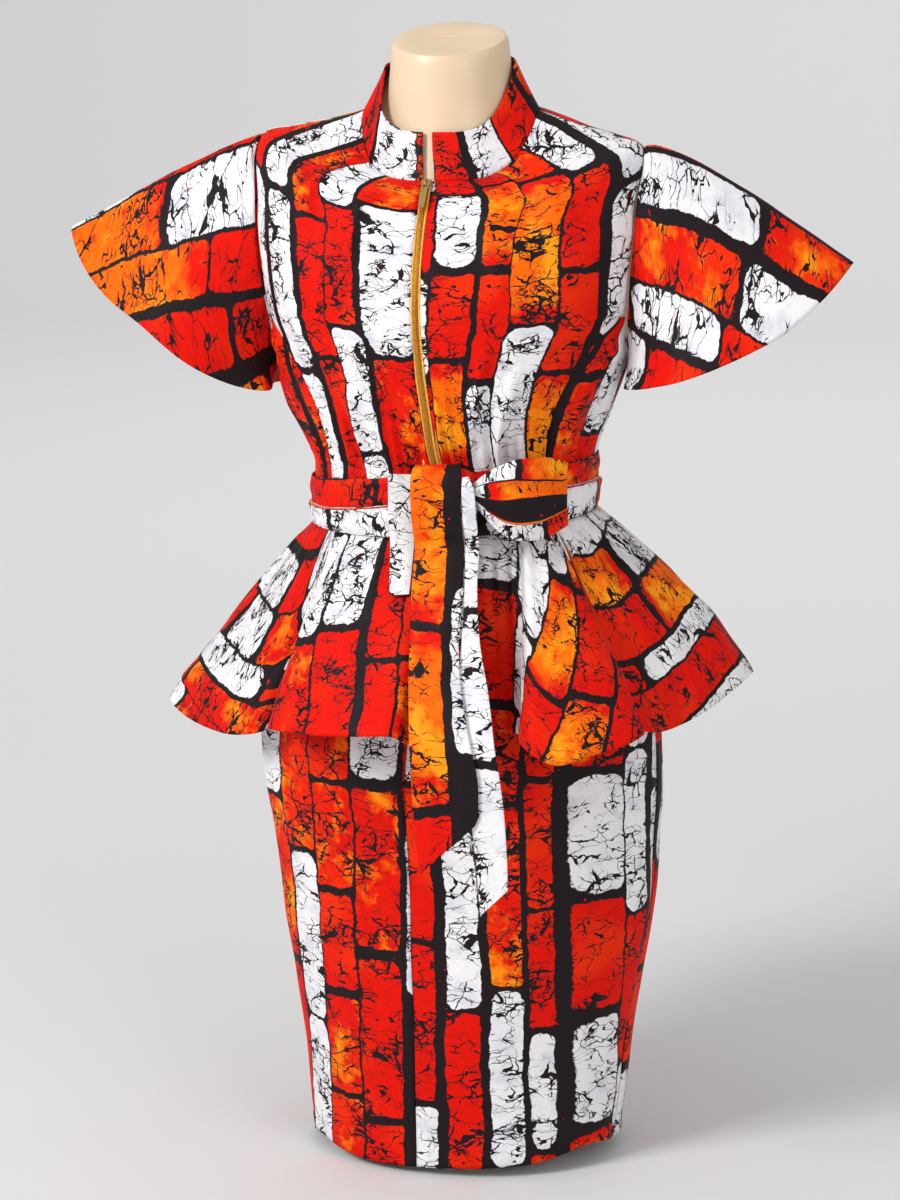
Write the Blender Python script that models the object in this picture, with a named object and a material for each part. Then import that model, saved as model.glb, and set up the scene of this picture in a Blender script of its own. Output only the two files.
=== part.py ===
# Peplum dress on a limbless dress form.
# Metres, +Z up, front of the dress towards -Y, floor under the base at z = 0.
import bpy
import bmesh
from math import sin, cos, pi, radians, degrees, asin
from mathutils import Vector, Matrix

for old in list(bpy.data.objects):
    bpy.data.objects.remove(old)

# Cloth and seam sizes
WALL = 0.0020
SEAM_ANGLE = 0.17
ZIP_HALF_GAP = 0.0046

# Colours of the plain materials
COLOURS = {
    "printed_cotton": (0.42, 0.07, 0.04, 1.0),
    "form_cover": (0.78, 0.70, 0.58, 1.0),
    "zip_gold": (0.75, 0.55, 0.22, 1.0),
    "zip_tape": (0.70, 0.60, 0.45, 1.0),
    "stand_steel": (0.55, 0.55, 0.56, 1.0),
}


def material(name):
    found = bpy.data.materials.get(name)
    if found:
        return found
    made = bpy.data.materials.new(name)
    made.use_nodes = True
    shader = made.node_tree.nodes["Principled BSDF"]
    shader.inputs["Base Color"].default_value = COLOURS[name]
    shader.inputs["Roughness"].default_value = 0.7
    if name in ("zip_gold", "stand_steel"):
        shader.inputs["Metallic"].default_value = 1.0
        shader.inputs["Roughness"].default_value = 0.35
    made.diffuse_color = COLOURS[name]
    return made


def mix(a, b, k):
    return a + (b - a) * k


# Smooth reading of a table by a position counted in rows
def read(table, at):
    last = len(table) - 1
    at = min(max(at, 0.0), float(last))
    i = min(int(at), last - 1)
    k = at - i
    before = table[max(i - 1, 0)]
    here = table[i]
    after = table[i + 1]
    beyond = table[min(i + 2, last)]
    out = []
    for a, b, c, d in zip(before, here, after, beyond):
        slope_b = (c - a) / 2
        slope_c = (d - b) / 2
        if (c - b) * (b - a) <= 0:
            slope_b = 0.0
        if (d - c) * (c - b) <= 0:
            slope_c = 0.0
        h = k * k * (3 - 2 * k)
        out.append(b * (1 - h) + c * h + slope_b * k * (1 - k) ** 2 - slope_c * k * k * (1 - k))
    return out


# The same reading of a closed table, for hems that run all round
def read_round(table, at):
    n = len(table)
    i = int(at // 1) % n
    k = at - at // 1
    a, b, c, d = (table[(i + s) % n] for s in (-1, 0, 1, 2))
    out = []
    for p, q, r, s in zip(a, b, c, d):
        out.append(0.5 * (2 * q + (r - p) * k + (2 * p - 5 * q + 4 * r - s) * k * k
                          + (3 * q - p - 3 * r + s) * k * k * k))
    return out


# Value at a position in a table whose first column grows
def look(table, x):
    last = len(table) - 1
    for i in range(last):
        if x <= table[i + 1][0] or i == last - 1:
            span = table[i + 1][0] - table[i][0]
            k = min(max((x - table[i][0]) / span, 0.0), 1.0)
            return read(table, i + k)
    return list(table[-1])


# How a ring falls from its side to its front: softly, at once beside the neck, or as a level cut
def soft_fall(c):
    return c ** 1.6


def neck_fall(c):
    return 1 - (1 - c ** 1.4) ** 2


def level_fall(c):
    return c


# A point on an oval ring that rises or falls towards its front and back
def ring_point(row, theta, centre_x=0.0, to_front=soft_fall, to_back=soft_fall):
    z_side, z_front, z_back, half_width, front, back, power = row
    s = sin(radians(theta))
    c = cos(radians(theta))
    e = 2 / power
    x = half_width * abs(s) ** e * (1 if s > 0 else -1)
    if c > 0:
        return Vector((centre_x + x, -front * abs(c) ** e, mix(z_side, z_front, to_front(abs(c)))))
    return Vector((centre_x + x, back * abs(c) ** e, mix(z_side, z_back, to_back(abs(c)))))


# Rings of the dressed torso from the waist seam to the neck seam
# columns: z at side, z at front, z at back, half width, front depth, back depth, oval power
TORSO = [
    (0.640, 0.640, 0.640, 0.139, 0.113, 0.099, 2.1),
    (0.700, 0.700, 0.700, 0.139, 0.112, 0.098, 2.1),
    (0.730, 0.730, 0.730, 0.145, 0.115, 0.101, 2.1),
    (0.765, 0.765, 0.765, 0.161, 0.122, 0.106, 2.1),
    (0.800, 0.800, 0.800, 0.173, 0.129, 0.110, 2.1),
    (0.835, 0.835, 0.835, 0.179, 0.134, 0.113, 2.1),
    (0.870, 0.866, 0.870, 0.186, 0.135, 0.115, 2.1),
    (0.910, 0.896, 0.910, 0.192, 0.130, 0.116, 2.15),
    (0.950, 0.923, 0.950, 0.195, 0.120, 0.114, 2.2),
    (0.988, 0.946, 0.984, 0.195, 0.108, 0.107, 2.2),
    (1.0185, 0.961, 1.012, 0.187, 0.097, 0.096, 2.15),
    (1.0265, 0.971, 1.031, 0.163, 0.089, 0.084, 2.1),
    (1.0360, 0.978, 1.046, 0.125, 0.084, 0.073, 2.0),
    (1.047, 0.984, 1.059, 0.087, 0.079, 0.062, 2.0),
]
NECK_ROW = 13.0
SHOULDER_ROW = 10.0
UNDERARM_ROW = 4.0
# The wearer's left shoulder sits lower, a drop for each metre out from the centre
SHOULDER_TILT = 0.030
# How much of the neck's shape each torso row takes: row, share
NECK_SHARE = [(10, 0.0), (11, 0.15), (12, 0.5), (13, 1.0)]

# Princess seam: torso row, angle from the centre front
PRINCESS = [(0, 49), (1, 49), (2, 48), (3, 46), (4, 50), (5, 62), (5.5, 72)]
# Armhole edge: torso row, angle from the centre front, mirrored for the back
ARMHOLE = [(4, 90), (5, 80), (5.5, 76.5), (6, 74.5), (7, 72), (8, 72), (9, 76), (10, 90)]
# Zip line: torso row, distance to the wearer's left of the centre
ZIP_LINE = [(0, 0.010), (1, 0.008), (2, 0.003), (3, 0.000), (4, -0.003), (6, -0.0055), (9, -0.0055), (13, -0.0062)]


def smooth(x, low, high):
    k = min(max((x - low) / (high - low), 0.0), 1.0)
    return k * k * (3 - 2 * k)


def torso(theta, t):
    neck_share = look(NECK_SHARE, max(t, SHOULDER_ROW))[1]
    point = ring_point(read(TORSO, t), theta, 0.0, lambda c: mix(soft_fall(c), neck_fall(c), neck_share))
    share = smooth(t, 6.5, 9.5) * (1 - smooth(t, SHOULDER_ROW + 0.8, NECK_ROW))
    point.z -= SHOULDER_TILT * share * point.x
    return point


# Outward direction of a surface from small steps along it
def outward(surface, u, v, du=0.5, dv=0.02):
    along = surface(u + du, v) - surface(u - du, v)
    up = surface(u, v + dv) - surface(u, v - dv)
    return along.cross(up).normalized()


def torso_moved(theta, t, out):
    return torso(theta, t) + outward(torso, theta, min(max(t, 0.03), NECK_ROW - 0.03)) * out


def angle_at(x, t):
    row = read(TORSO, t)
    s = (abs(x) / row[3]) ** (row[6] / 2)
    return degrees(asin(s)) * (1 if x > 0 else -1)


def build(name, points, faces, slot):
    mesh = bpy.data.meshes.new(name)
    mesh.from_pydata([tuple(p) for p in points], [], faces)
    bm = bmesh.new()
    bm.from_mesh(mesh)
    bmesh.ops.recalc_face_normals(bm, faces=bm.faces)
    bm.to_mesh(mesh)
    bm.free()
    mesh.materials.append(material(slot))
    made = bpy.data.objects.new(name, mesh)
    bpy.context.scene.collection.objects.link(made)
    return made


# A closed cloth wall between an outer grid and an inner grid of points
def wall(name, outer, inner, slot, closed=False):
    rows = len(outer)
    cols = len(outer[0])
    points = [p for row in outer for p in row] + [p for row in inner for p in row]
    shift = rows * cols
    wide = cols if closed else cols - 1
    faces = []

    def at(i, j, side):
        return side * shift + i * cols + j % cols

    for i in range(rows - 1):
        for j in range(wide):
            faces.append((at(i, j, 0), at(i, j + 1, 0), at(i + 1, j + 1, 0), at(i + 1, j, 0)))
            faces.append((at(i, j, 1), at(i + 1, j, 1), at(i + 1, j + 1, 1), at(i, j + 1, 1)))
    for j in range(wide):
        faces.append((at(0, j, 0), at(0, j, 1), at(0, j + 1, 1), at(0, j + 1, 0)))
        faces.append((at(rows - 1, j, 0), at(rows - 1, j + 1, 0), at(rows - 1, j + 1, 1), at(rows - 1, j, 1)))
    if not closed:
        for i in range(rows - 1):
            faces.append((at(i, 0, 0), at(i + 1, 0, 0), at(i + 1, 0, 1), at(i, 0, 1)))
            faces.append((at(i, cols - 1, 0), at(i, cols - 1, 1), at(i + 1, cols - 1, 1), at(i + 1, cols - 1, 0)))
    return build(name, points, faces, slot)


# A solid lofted through closed rings, capped at both ends
def loft(name, rings, slot):
    points = [p for ring in rings for p in ring]
    n = len(rings[0])
    faces = []
    for i in range(len(rings) - 1):
        for j in range(n):
            k = (j + 1) % n
            faces.append((i * n + j, i * n + k, (i + 1) * n + k, (i + 1) * n + j))
    faces.append(tuple(range(n)))
    faces.append(tuple((len(rings) - 1) * n + j for j in range(n)))
    return build(name, points, faces, slot)


# Torso panel between two edges given as angles for each torso row
def torso_panel(name, rows, first, last, columns, slot="printed_cotton", out=0.0, thick=WALL):
    outer = []
    inner = []
    for t in rows:
        a = first(t)
        b = last(t)
        line = [mix(a, b, j / columns) for j in range(columns + 1)]
        outer.append([torso_moved(theta, t, out) for theta in line])
        inner.append([torso_moved(theta, t, out - thick) for theta in line])
    return wall(name, outer, inner, slot)


ROWS = [0, 1, 1.5, 2, 3, 4, 5, 5.5, 6, 7, 8, 9, 9.5, 10, 11, 12, 13]
SIDE_ROWS = [t for t in ROWS if t <= 5.5]


def princess(t):
    return look(PRINCESS, t)[1]


def armhole(t):
    if t <= UNDERARM_ROW or t >= SHOULDER_ROW:
        return 90.0
    return look(ARMHOLE, t)[1]


def zip_line(t):
    return look(ZIP_LINE, t)[1]


def front_outer(t):
    return princess(t) if t <= 5.5 else armhole(t)


# Bodice: two fronts beside the zip, two side fronts, one back
def left_front_zip(t):
    return angle_at(zip_line(t) + ZIP_HALF_GAP, t)


def right_front_zip(t):
    return angle_at(zip_line(t) - ZIP_HALF_GAP, t)


torso_panel("bodice_front_left", ROWS, left_front_zip, lambda t: front_outer(t) - SEAM_ANGLE, 8)
torso_panel("bodice_front_right", ROWS, lambda t: -front_outer(t) + SEAM_ANGLE, right_front_zip, 8)
torso_panel("bodice_side_left", SIDE_ROWS, lambda t: princess(t) + SEAM_ANGLE,
            lambda t: armhole(t) - SEAM_ANGLE, 5)
torso_panel("bodice_side_right", SIDE_ROWS, lambda t: -armhole(t) + SEAM_ANGLE,
            lambda t: -princess(t) - SEAM_ANGLE, 5)
torso_panel("bodice_back", ROWS, lambda t: 180 - armhole(t) + SEAM_ANGLE,
            lambda t: 180 + armhole(t) - SEAM_ANGLE, 18)

# Stand collar
# columns: z at side, z at front, z at back, half width, front depth, back depth, oval power
COLLAR = [
    (1.0482, 0.9853, 1.0602, 0.0864, 0.0784, 0.0614, 2.0),
    (1.0610, 0.9990, 1.0760, 0.0790, 0.0735, 0.0590, 2.0),
    (1.0770, 1.0150, 1.0930, 0.0705, 0.0685, 0.0570, 2.0),
    (1.0910, 1.0290, 1.1080, 0.0640, 0.0640, 0.0555, 2.0),
]
COLLAR_GAP = [(0, -7.2, 0.6), (3, -12.4, -3.6)]
COLLAR_STEPS = 42


def collar(theta, v):
    return ring_point(read(COLLAR, v), theta, 0.0, neck_fall)


def collar_grid(out):
    grid = []
    for v in (0, 1, 2, 3):
        first = look(COLLAR_GAP, v)[2]
        last = 360 + look(COLLAR_GAP, v)[1]
        row = []
        for j in range(COLLAR_STEPS + 1):
            theta = mix(first, last, j / COLLAR_STEPS)
            row.append(collar(theta, v) + outward(collar, theta, min(max(v, 0.03), 2.97)) * out)
        grid.append(row)
    return grid


wall("collar", collar_grid(0.0), collar_grid(-WALL), "printed_cotton")

# Zip: tape under the fronts, chain in the gap
TAPE_HALF = 0.0115
CHAIN_HALF = 0.0032
ZIP_ROWS = [0.3] + [t for t in ROWS if 1 <= t <= 12] + [12.9]


def beside_zip(distance):
    return lambda t: angle_at(zip_line(t) + distance, t)


torso_panel("zip_tape", ZIP_ROWS, beside_zip(-TAPE_HALF), beside_zip(TAPE_HALF), 4,
            "zip_tape", -0.0024, 0.0010)
torso_panel("zip_chain", ZIP_ROWS, beside_zip(-CHAIN_HALF), beside_zip(CHAIN_HALF), 2,
            "zip_gold", 0.0004, 0.0025)

# Slider and pull tab stand on the chain in their own frame: across, down the front, outward
SLIDER_ROW = 12.3
slider_theta = angle_at(zip_line(SLIDER_ROW), SLIDER_ROW)
normal = outward(torso, slider_theta, SLIDER_ROW)
across = Vector((1, 0, 0))
down = across.cross(normal).normalized()
if down.z > 0:
    down = -down
across = down.cross(normal).normalized()
SLIDER_AT = torso(slider_theta, SLIDER_ROW) + normal * 0.0007
SEAT = Matrix.Translation(SLIDER_AT) @ Matrix((across, down, normal)).transposed().to_4x4()


def box(name, low, high, slot):
    points = [Vector((x, y, z)) for x in (low[0], high[0]) for y in (low[1], high[1]) for z in (low[2], high[2])]
    faces = [(0, 1, 3, 2), (4, 6, 7, 5), (0, 4, 5, 1), (2, 3, 7, 6), (0, 2, 6, 4), (1, 5, 7, 3)]
    return build(name, points, faces, slot)


def combine(base, other, kind):
    step = base.modifiers.new("join", "BOOLEAN")
    step.operation = kind
    step.solver = "EXACT"
    step.object = other
    view = bpy.context.evaluated_depsgraph_get()
    fresh = bpy.data.meshes.new_from_object(base.evaluated_get(view))
    base.modifiers.remove(step)
    base.data = fresh
    bpy.data.objects.remove(other)


SLIDER_LENGTH = 0.0105
BRIDGE_TOP = 0.0062
WINDOW = (0.0023, 0.0050)
slider = box("zip_slider", (-0.0045, -0.0045, 0.0), (0.0045, 0.0060, 0.0022), "zip_gold")
bridge = box("bridge", (-0.0012, -0.0042, 0.0015), (0.0012, 0.0044, BRIDGE_TOP), "zip_gold")
combine(slider, bridge, "UNION")
window = box("window", (-0.0030, -0.0029, WINDOW[0]), (0.0030, 0.0031, WINDOW[1]), "zip_gold")
combine(slider, window, "DIFFERENCE")
slider.data.transform(SEAT)

# The pull is a plate with an eye, its top bar lies in the slider's window
BAR_AT = (0.0002, 0.00365)
BAR = 0.00055
pull = box("zip_pull", (-0.0034, BAR_AT[0] - BAR, BAR_AT[1] - BAR), (0.0034, 0.0300, BAR_AT[1] + BAR), "zip_gold")
eye = box("eye", (-0.0018, BAR_AT[0] + BAR, 0.0), (0.0018, 0.0066, 0.0090), "zip_gold")
combine(pull, eye, "DIFFERENCE")
pull.data.transform(SEAT)

# Flutter sleeves hang from the armhole edges
# columns: torso row of the seam point, angle from the side line (front is negative)
SLEEVE_SEAM = [
    (4.05, 0.0), (4.40, -4.5), (5.15, -11.5), (6.00, -15.5), (7.00, -18.0), (8.10, -18.0), (9.15, -13.5),
    (9.92, 0.0),
    (9.15, 13.5), (8.10, 18.0), (7.00, 18.0), (6.00, 15.5), (5.15, 11.5), (4.40, 4.5),
]
# columns: distance from the centre, y, z, extra height on the wearer's right
SLEEVE_HEM = [
    (0.1830, 0.000, 0.782, -0.005),
    (0.1770, -0.044, 0.784, -0.009),
    (0.2080, -0.075, 0.790, -0.005),
    (0.2450, -0.092, 0.800, 0.007),
    (0.2920, -0.090, 0.820, 0.023),
    (0.3340, -0.071, 0.842, 0.026),
    (0.3700, -0.038, 0.875, 0.029),
    (0.3910, 0.002, 0.903, 0.028),
    (0.3700, 0.045, 0.880, 0.027),
    (0.3350, 0.075, 0.847, 0.024),
    (0.2880, 0.090, 0.820, 0.021),
    (0.2380, 0.088, 0.800, 0.007),
    (0.2000, 0.070, 0.789, -0.005),
    (0.1780, 0.038, 0.783, -0.008),
]
# How far each sleeve head rises above a straight line, wearer's left and right
CROWN = {1: 0.0145, -1: 0.0050}
CROWN_SHAPE = 0.65
CROWN_REACH = 3.4
SEAM_OUT = 0.0019
SLEEVE_STEPS = 36
SLEEVE_ROWS = [0.0, 0.12, 0.32, 0.55, 0.78, 1.0]


def seam_point(side, u):
    t, turn = read_round(SLEEVE_SEAM, u)
    return torso_moved(side * (90 + turn), t, SEAM_OUT)


def sleeve(side):
    def surface(u, v):
        start = seam_point(side, u)
        x, y, z, rise = read_round(SLEEVE_HEM, u)
        end = Vector((side * x, y, z + (rise if side < 0 else 0.0)))
        point = start.lerp(end, v)
        flute = 0.0035 * v * v * sin(2 * pi * u * 5 / 14 + 0.7)
        away = Vector((side * 0.3, 1 if y > 0 else -1, 0.25)) * min(abs(y) / 0.06, 1.0)
        beside = cos(pi / 2 * min(abs(u - 7) / CROWN_REACH, 1.0)) ** 2
        crown = Vector((0, 0, CROWN[side])) * sin(pi * max(v, 0.0) ** CROWN_SHAPE) * beside
        return point + away * flute + crown
    return surface


def sleeve_wall(name, side):
    surface = sleeve(side)
    outer = []
    inner = []
    for v in SLEEVE_ROWS:
        outer_row = []
        inner_row = []
        for j in range(SLEEVE_STEPS):
            u = j * 14 / SLEEVE_STEPS
            point = surface(u, v)
            step = outward(surface, u, min(max(v, 0.10), 0.98), 0.05, 0.02) * side
            outer_row.append(point)
            inner_row.append(point + step * WALL)
        outer.append(outer_row)
        inner.append(inner_row)
    return wall(name, outer, inner, "printed_cotton", closed=True)


sleeve_wall("sleeve_left", 1)
sleeve_wall("sleeve_right", -1)

# Edges of the sash band, lower on the wearer's right
def sash_low(theta):
    s = sin(radians(theta))
    return 0.6535 + 0.0080 * s + 0.0055 * s * s


def sash_high(theta):
    s = sin(radians(theta))
    return 0.7055 + 0.0115 * s - 0.0050 * s * s


# Torso row at a height near the waist
def waist_row(z):
    if z > TORSO[1][0]:
        return 1 + (z - TORSO[1][0]) / (TORSO[2][0] - TORSO[1][0])
    return (z - TORSO[0][0]) / (TORSO[1][0] - TORSO[0][0])


# Peplum hem with its folds, from the wearer's right side round the front
# columns: angle at the waist, hem x, hem y, hem z, outward bulge
PEPLUM = [
    (-90, -0.307, 0.010, 0.448, 0.004),
    (-80, -0.271, -0.042, 0.440, 0.004),
    (-66, -0.220, -0.092, 0.438, 0.004),
    (-54, -0.184, -0.112, 0.443, 0.004),
    (-47, -0.166, -0.126, 0.451, 0.000),
    (-42, -0.157, -0.152, 0.459, 0.004),
    (-33, -0.124, -0.182, 0.464, 0.008),
    (-22, -0.090, -0.204, 0.468, 0.008),
    (-10, -0.040, -0.224, 0.474, 0.008),
    (-3, -0.010, -0.229, 0.476, 0.008),
    (2, 0.006, -0.214, 0.466, 0.006),
    (7, 0.021, -0.178, 0.466, 0.000),
    (16, 0.050, -0.160, 0.468, -0.002),
    (26, 0.078, -0.158, 0.468, -0.002),
    (33, 0.098, -0.168, 0.469, 0.000),
    (37, 0.107, -0.205, 0.471, 0.004),
    (40, 0.120, -0.235, 0.470, 0.010),
    (43, 0.147, -0.236, 0.458, 0.012),
    (46, 0.175, -0.220, 0.464, 0.012),
    (49, 0.207, -0.192, 0.470, 0.010),
    (52, 0.219, -0.168, 0.474, 0.006),
    (56, 0.219, -0.140, 0.470, 0.004),
    (64, 0.232, -0.112, 0.465, 0.010),
    (77, 0.266, -0.058, 0.476, 0.016),
    (90, 0.295, 0.010, 0.496, 0.016),
    (102, 0.284, 0.062, 0.486, 0.013),
    (114, 0.248, 0.108, 0.472, 0.008),
    (124, 0.212, 0.130, 0.467, 0.002),
    (134, 0.188, 0.178, 0.466, 0.006),
    (145, 0.142, 0.213, 0.468, 0.008),
    (157, 0.092, 0.222, 0.468, 0.006),
    (168, 0.052, 0.186, 0.470, 0.000),
    (180, 0.004, 0.178, 0.470, 0.000),
    (192, -0.046, 0.190, 0.469, 0.000),
    (203, -0.092, 0.224, 0.466, 0.006),
    (215, -0.146, 0.211, 0.463, 0.008),
    (226, -0.192, 0.176, 0.459, 0.006),
    (236, -0.214, 0.128, 0.456, 0.002),
    (246, -0.250, 0.104, 0.450, 0.006),
    (258, -0.292, 0.060, 0.446, 0.006),
]
PEPLUM_TURN = len(PEPLUM)
PEPLUM_LAP = 0.0025
BAND_GAP = 0.0008
SIDE_SEAM_RIGHT = PEPLUM_TURN - 0.8
SIDE_SEAM_LEFT = 24.8
PEPLUM_ROWS = [0.0, 0.06, 0.16, 0.30, 0.46, 0.64, 0.82, 1.0]


def peplum(u, v):
    angle, x, y, z, bulge = read_round(PEPLUM, u)
    turn = u % PEPLUM_TURN
    if turn > PEPLUM_TURN - 1.0:
        last = PEPLUM[-1][0]
        k = turn - (PEPLUM_TURN - 1.0)
        angle = mix(last, 270, k)
    elif turn < 1.0:
        angle = mix(-90, PEPLUM[1][0], turn)
    elif turn > PEPLUM_TURN - 2.0 or turn < 2.0:
        i = int(turn)
        angle = mix(PEPLUM[i][0], PEPLUM[i + 1][0], turn - i)
    top = sash_low(angle) - BAND_GAP
    start = torso_moved(angle, waist_row(top), PEPLUM_LAP)
    end = Vector((x, y, z))
    point = start.lerp(end, v)
    flat = Vector((end.x, end.y, 0)).normalized()
    return point + flat * (4 * bulge * v * (1 - v))


def peplum_wall(name, first, last, steps):
    outer = []
    inner = []
    for v in PEPLUM_ROWS:
        outer_row = []
        inner_row = []
        for j in range(steps + 1):
            u = mix(first, last, j / steps)
            point = peplum(u, v)
            step = outward(peplum, u, min(max(v, 0.02), 0.98), 0.06, 0.02)
            if v == 0.0:
                step = Vector((-point.x, -point.y, 0)).normalized()
            outer_row.append(point)
            inner_row.append(point + step * WALL)
        outer.append(outer_row)
        inner.append(inner_row)
    return wall(name, outer, inner, "printed_cotton")


PEPLUM_SEAM = 0.006
peplum_wall("peplum_front", SIDE_SEAM_RIGHT - PEPLUM_TURN + PEPLUM_SEAM, SIDE_SEAM_LEFT - PEPLUM_SEAM, 72)
peplum_wall("peplum_back", SIDE_SEAM_LEFT + PEPLUM_SEAM, SIDE_SEAM_RIGHT - PEPLUM_SEAM, 34)

# Pencil skirt, turned a little to the wearer's right
# columns: z, half width, front depth, back depth, sideways shift
SKIRT = [
    (0.010, 0.160, 0.124, 0.122, 0.006),
    (0.068, 0.164, 0.125, 0.123, 0.007),
    (0.125, 0.170, 0.127, 0.125, 0.008),
    (0.190, 0.180, 0.129, 0.127, 0.009),
    (0.235, 0.188, 0.130, 0.129, 0.009),
    (0.280, 0.193, 0.131, 0.131, 0.010),
    (0.335, 0.197, 0.131, 0.133, 0.009),
    (0.380, 0.202, 0.131, 0.135, 0.007),
    (0.430, 0.203, 0.130, 0.136, 0.004),
    (0.500, 0.192, 0.126, 0.130, 0.002),
    (0.550, 0.177, 0.121, 0.120, 0.001),
    (0.600, 0.157, 0.115, 0.108, 0.000),
    (0.6393, 0.1388, 0.1128, 0.0988, 0.000),
]
SKIRT_TOP = SKIRT[-1][0]
SKIRT_TURN = -8.0
HEM_Z = 0.0095
HEM_DIP = 0.005
HEM_CORNER = 0.010
HEM_CORNER_ANGLE = 58.0


def skirt(theta, z):
    row = look(SKIRT, z)
    width, front, back, shift = row[1:]
    theta = theta + SKIRT_TURN * min(1.0, max(0.0, (SKIRT_TOP - z) / 0.25))
    return ring_point((z, z, z, width, front, back, 2.1), theta, shift)


def skirt_hem(theta):
    folded = degrees(asin(min(abs(sin(radians(theta + SKIRT_TURN))), 1.0)))
    corner = HEM_CORNER * 2.718 ** -(((folded - HEM_CORNER_ANGLE) / 18) ** 2)
    return HEM_Z + HEM_DIP * sin(radians(theta - 10)) + corner


def skirt_panel(name, first, last, steps):
    outer = []
    inner = []
    for v in (0, 0.10, 0.22, 0.34, 0.47, 0.60, 0.74, 0.86, 0.94, 1):
        outer_row = []
        inner_row = []
        for j in range(steps + 1):
            theta = mix(first, last, j / steps)
            z = mix(skirt_hem(theta), SKIRT_TOP, v)
            step = outward(skirt, theta, min(z, SKIRT_TOP - 0.003), 0.5, 0.002)
            outer_row.append(skirt(theta, z))
            inner_row.append(skirt(theta, z) - step * WALL)
        outer.append(outer_row)
        inner.append(inner_row)
    return wall(name, outer, inner, "printed_cotton")


skirt_panel("skirt_front_right", -90 + SEAM_ANGLE, -SEAM_ANGLE, 12)
skirt_panel("skirt_front_left", SEAM_ANGLE, 90 - SEAM_ANGLE, 12)
skirt_panel("skirt_back", 90 + SEAM_ANGLE, 270 - SEAM_ANGLE, 22)

# Sash band with two lengthwise folds
# columns: height across the band, distance off the bodice
SASH_SECTION = [
    (0.000, 0.0038), (0.12, 0.0060), (0.36, 0.0064), (0.50, 0.0044),
    (0.62, 0.0062), (0.86, 0.0062), (1.00, 0.0038),
]
SASH_WALL = 0.0022
SASH_STEPS = 40


def sash_point(theta, k, out):
    return torso_moved(theta, waist_row(mix(sash_low(theta), sash_high(theta), k)), out)


sash_outer = []
sash_inner = []
for k, out in SASH_SECTION:
    line = [360 * j / SASH_STEPS for j in range(SASH_STEPS)]
    sash_outer.append([sash_point(theta, k, out) for theta in line])
    sash_inner.append([sash_point(theta, k, out - SASH_WALL) for theta in line])
wall("sash_band", sash_outer, sash_inner, "printed_cotton", closed=True)

# Knot: a folded lump, flat towards the band
KNOT_AT = Vector((0.021, -0.1343, 0.7000))
KNOT_HALF = Vector((0.030, 0.0165, 0.0170))
KNOT_RINGS = 9
KNOT_STEPS = 18
knot_rings = []
for i in range(1, KNOT_RINGS):
    k = pi * i / KNOT_RINGS
    ring = []
    for j in range(KNOT_STEPS):
        a = 2 * pi * j / KNOT_STEPS
        swell = 1 + 0.07 * cos(3 * a + 0.6) * sin(k)
        x = -cos(k) * KNOT_HALF.x
        y = sin(a) * sin(k) ** 0.8 * KNOT_HALF.y * swell
        z = cos(a) * sin(k) ** 0.8 * KNOT_HALF.z * swell
        ring.append(KNOT_AT + Vector((x, min(y, 0.0164), z + 0.004 * x / KNOT_HALF.x)))
    knot_rings.append(ring)
loft("sash_knot", knot_rings, "printed_cotton")

# Bow loop: path out and back, columns: x, y, low z, high z
LOOP = [
    (0.0500, -0.1400, 0.6860, 0.7040),
    (0.0620, -0.1440, 0.6720, 0.7140),
    (0.0800, -0.1450, 0.6560, 0.7240),
    (0.0980, -0.1390, 0.6500, 0.7290),
    (0.1160, -0.1280, 0.6510, 0.7290),
    (0.1300, -0.1140, 0.6580, 0.7240),
    (0.1345, -0.1060, 0.6610, 0.7210),
    (0.1290, -0.1020, 0.6620, 0.7200),
    (0.1140, -0.1060, 0.6600, 0.7180),
    (0.0960, -0.1140, 0.6620, 0.7160),
    (0.0780, -0.1210, 0.6680, 0.7120),
    (0.0620, -0.1270, 0.6780, 0.7080),
    (0.0500, -0.1310, 0.6860, 0.7030),
]


def loop(u, v):
    x, y, low, high = read(LOOP, u)
    return Vector((x, y - 0.004 * sin(pi * v), mix(low, high, v)))


def ribbon(name, surface, lengths, widths, du, dv, slot="printed_cotton", side=1):
    outer = []
    inner = []
    for u in lengths:
        outer_row = []
        inner_row = []
        for v in widths:
            point = surface(u, v)
            low_u = min(max(u, lengths[0] + du), lengths[-1] - du)
            low_v = min(max(v, widths[0] + dv), widths[-1] - dv)
            step = outward(surface, low_u, low_v, du, dv) * side
            outer_row.append(point)
            inner_row.append(point + step * WALL)
        outer.append(outer_row)
        inner.append(inner_row)
    return wall(name, outer, inner, slot)


ribbon("sash_loop", loop, [i / 2 for i in range(25)], [0, 0.15, 0.5, 0.85, 1.0], 0.05, 0.02, side=-1)

# Front line that the tails rest on, columns: z, y
FRONT_LINE = [(0.25, -0.2350), (0.40, -0.2350), (0.465, -0.2350), (0.50, -0.2207), (0.53, -0.2040),
              (0.56, -0.1845), (0.58, -0.1704), (0.60, -0.1554), (0.615, -0.1435), (0.630, -0.1312),
              (0.645, -0.1212), (0.655, -0.1210), (0.72, -0.1210)]


def front_line(z):
    return look(FRONT_LINE, z)[1]


# Tails, columns: z at the wearer's right edge, z at the other edge, x of each edge, distance off the line
TAIL_SHORT = [
    (0.7080, 0.7080, -0.0380, -0.0140, 0.0002),
    (0.6800, 0.6800, -0.0380, -0.0135, 0.0002),
    (0.6500, 0.6500, -0.0370, -0.0130, 0.0002),
    (0.6250, 0.6250, -0.0335, -0.0110, 0.0004),
    (0.5980, 0.5990, -0.0290, -0.0095, 0.0008),
]
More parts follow.
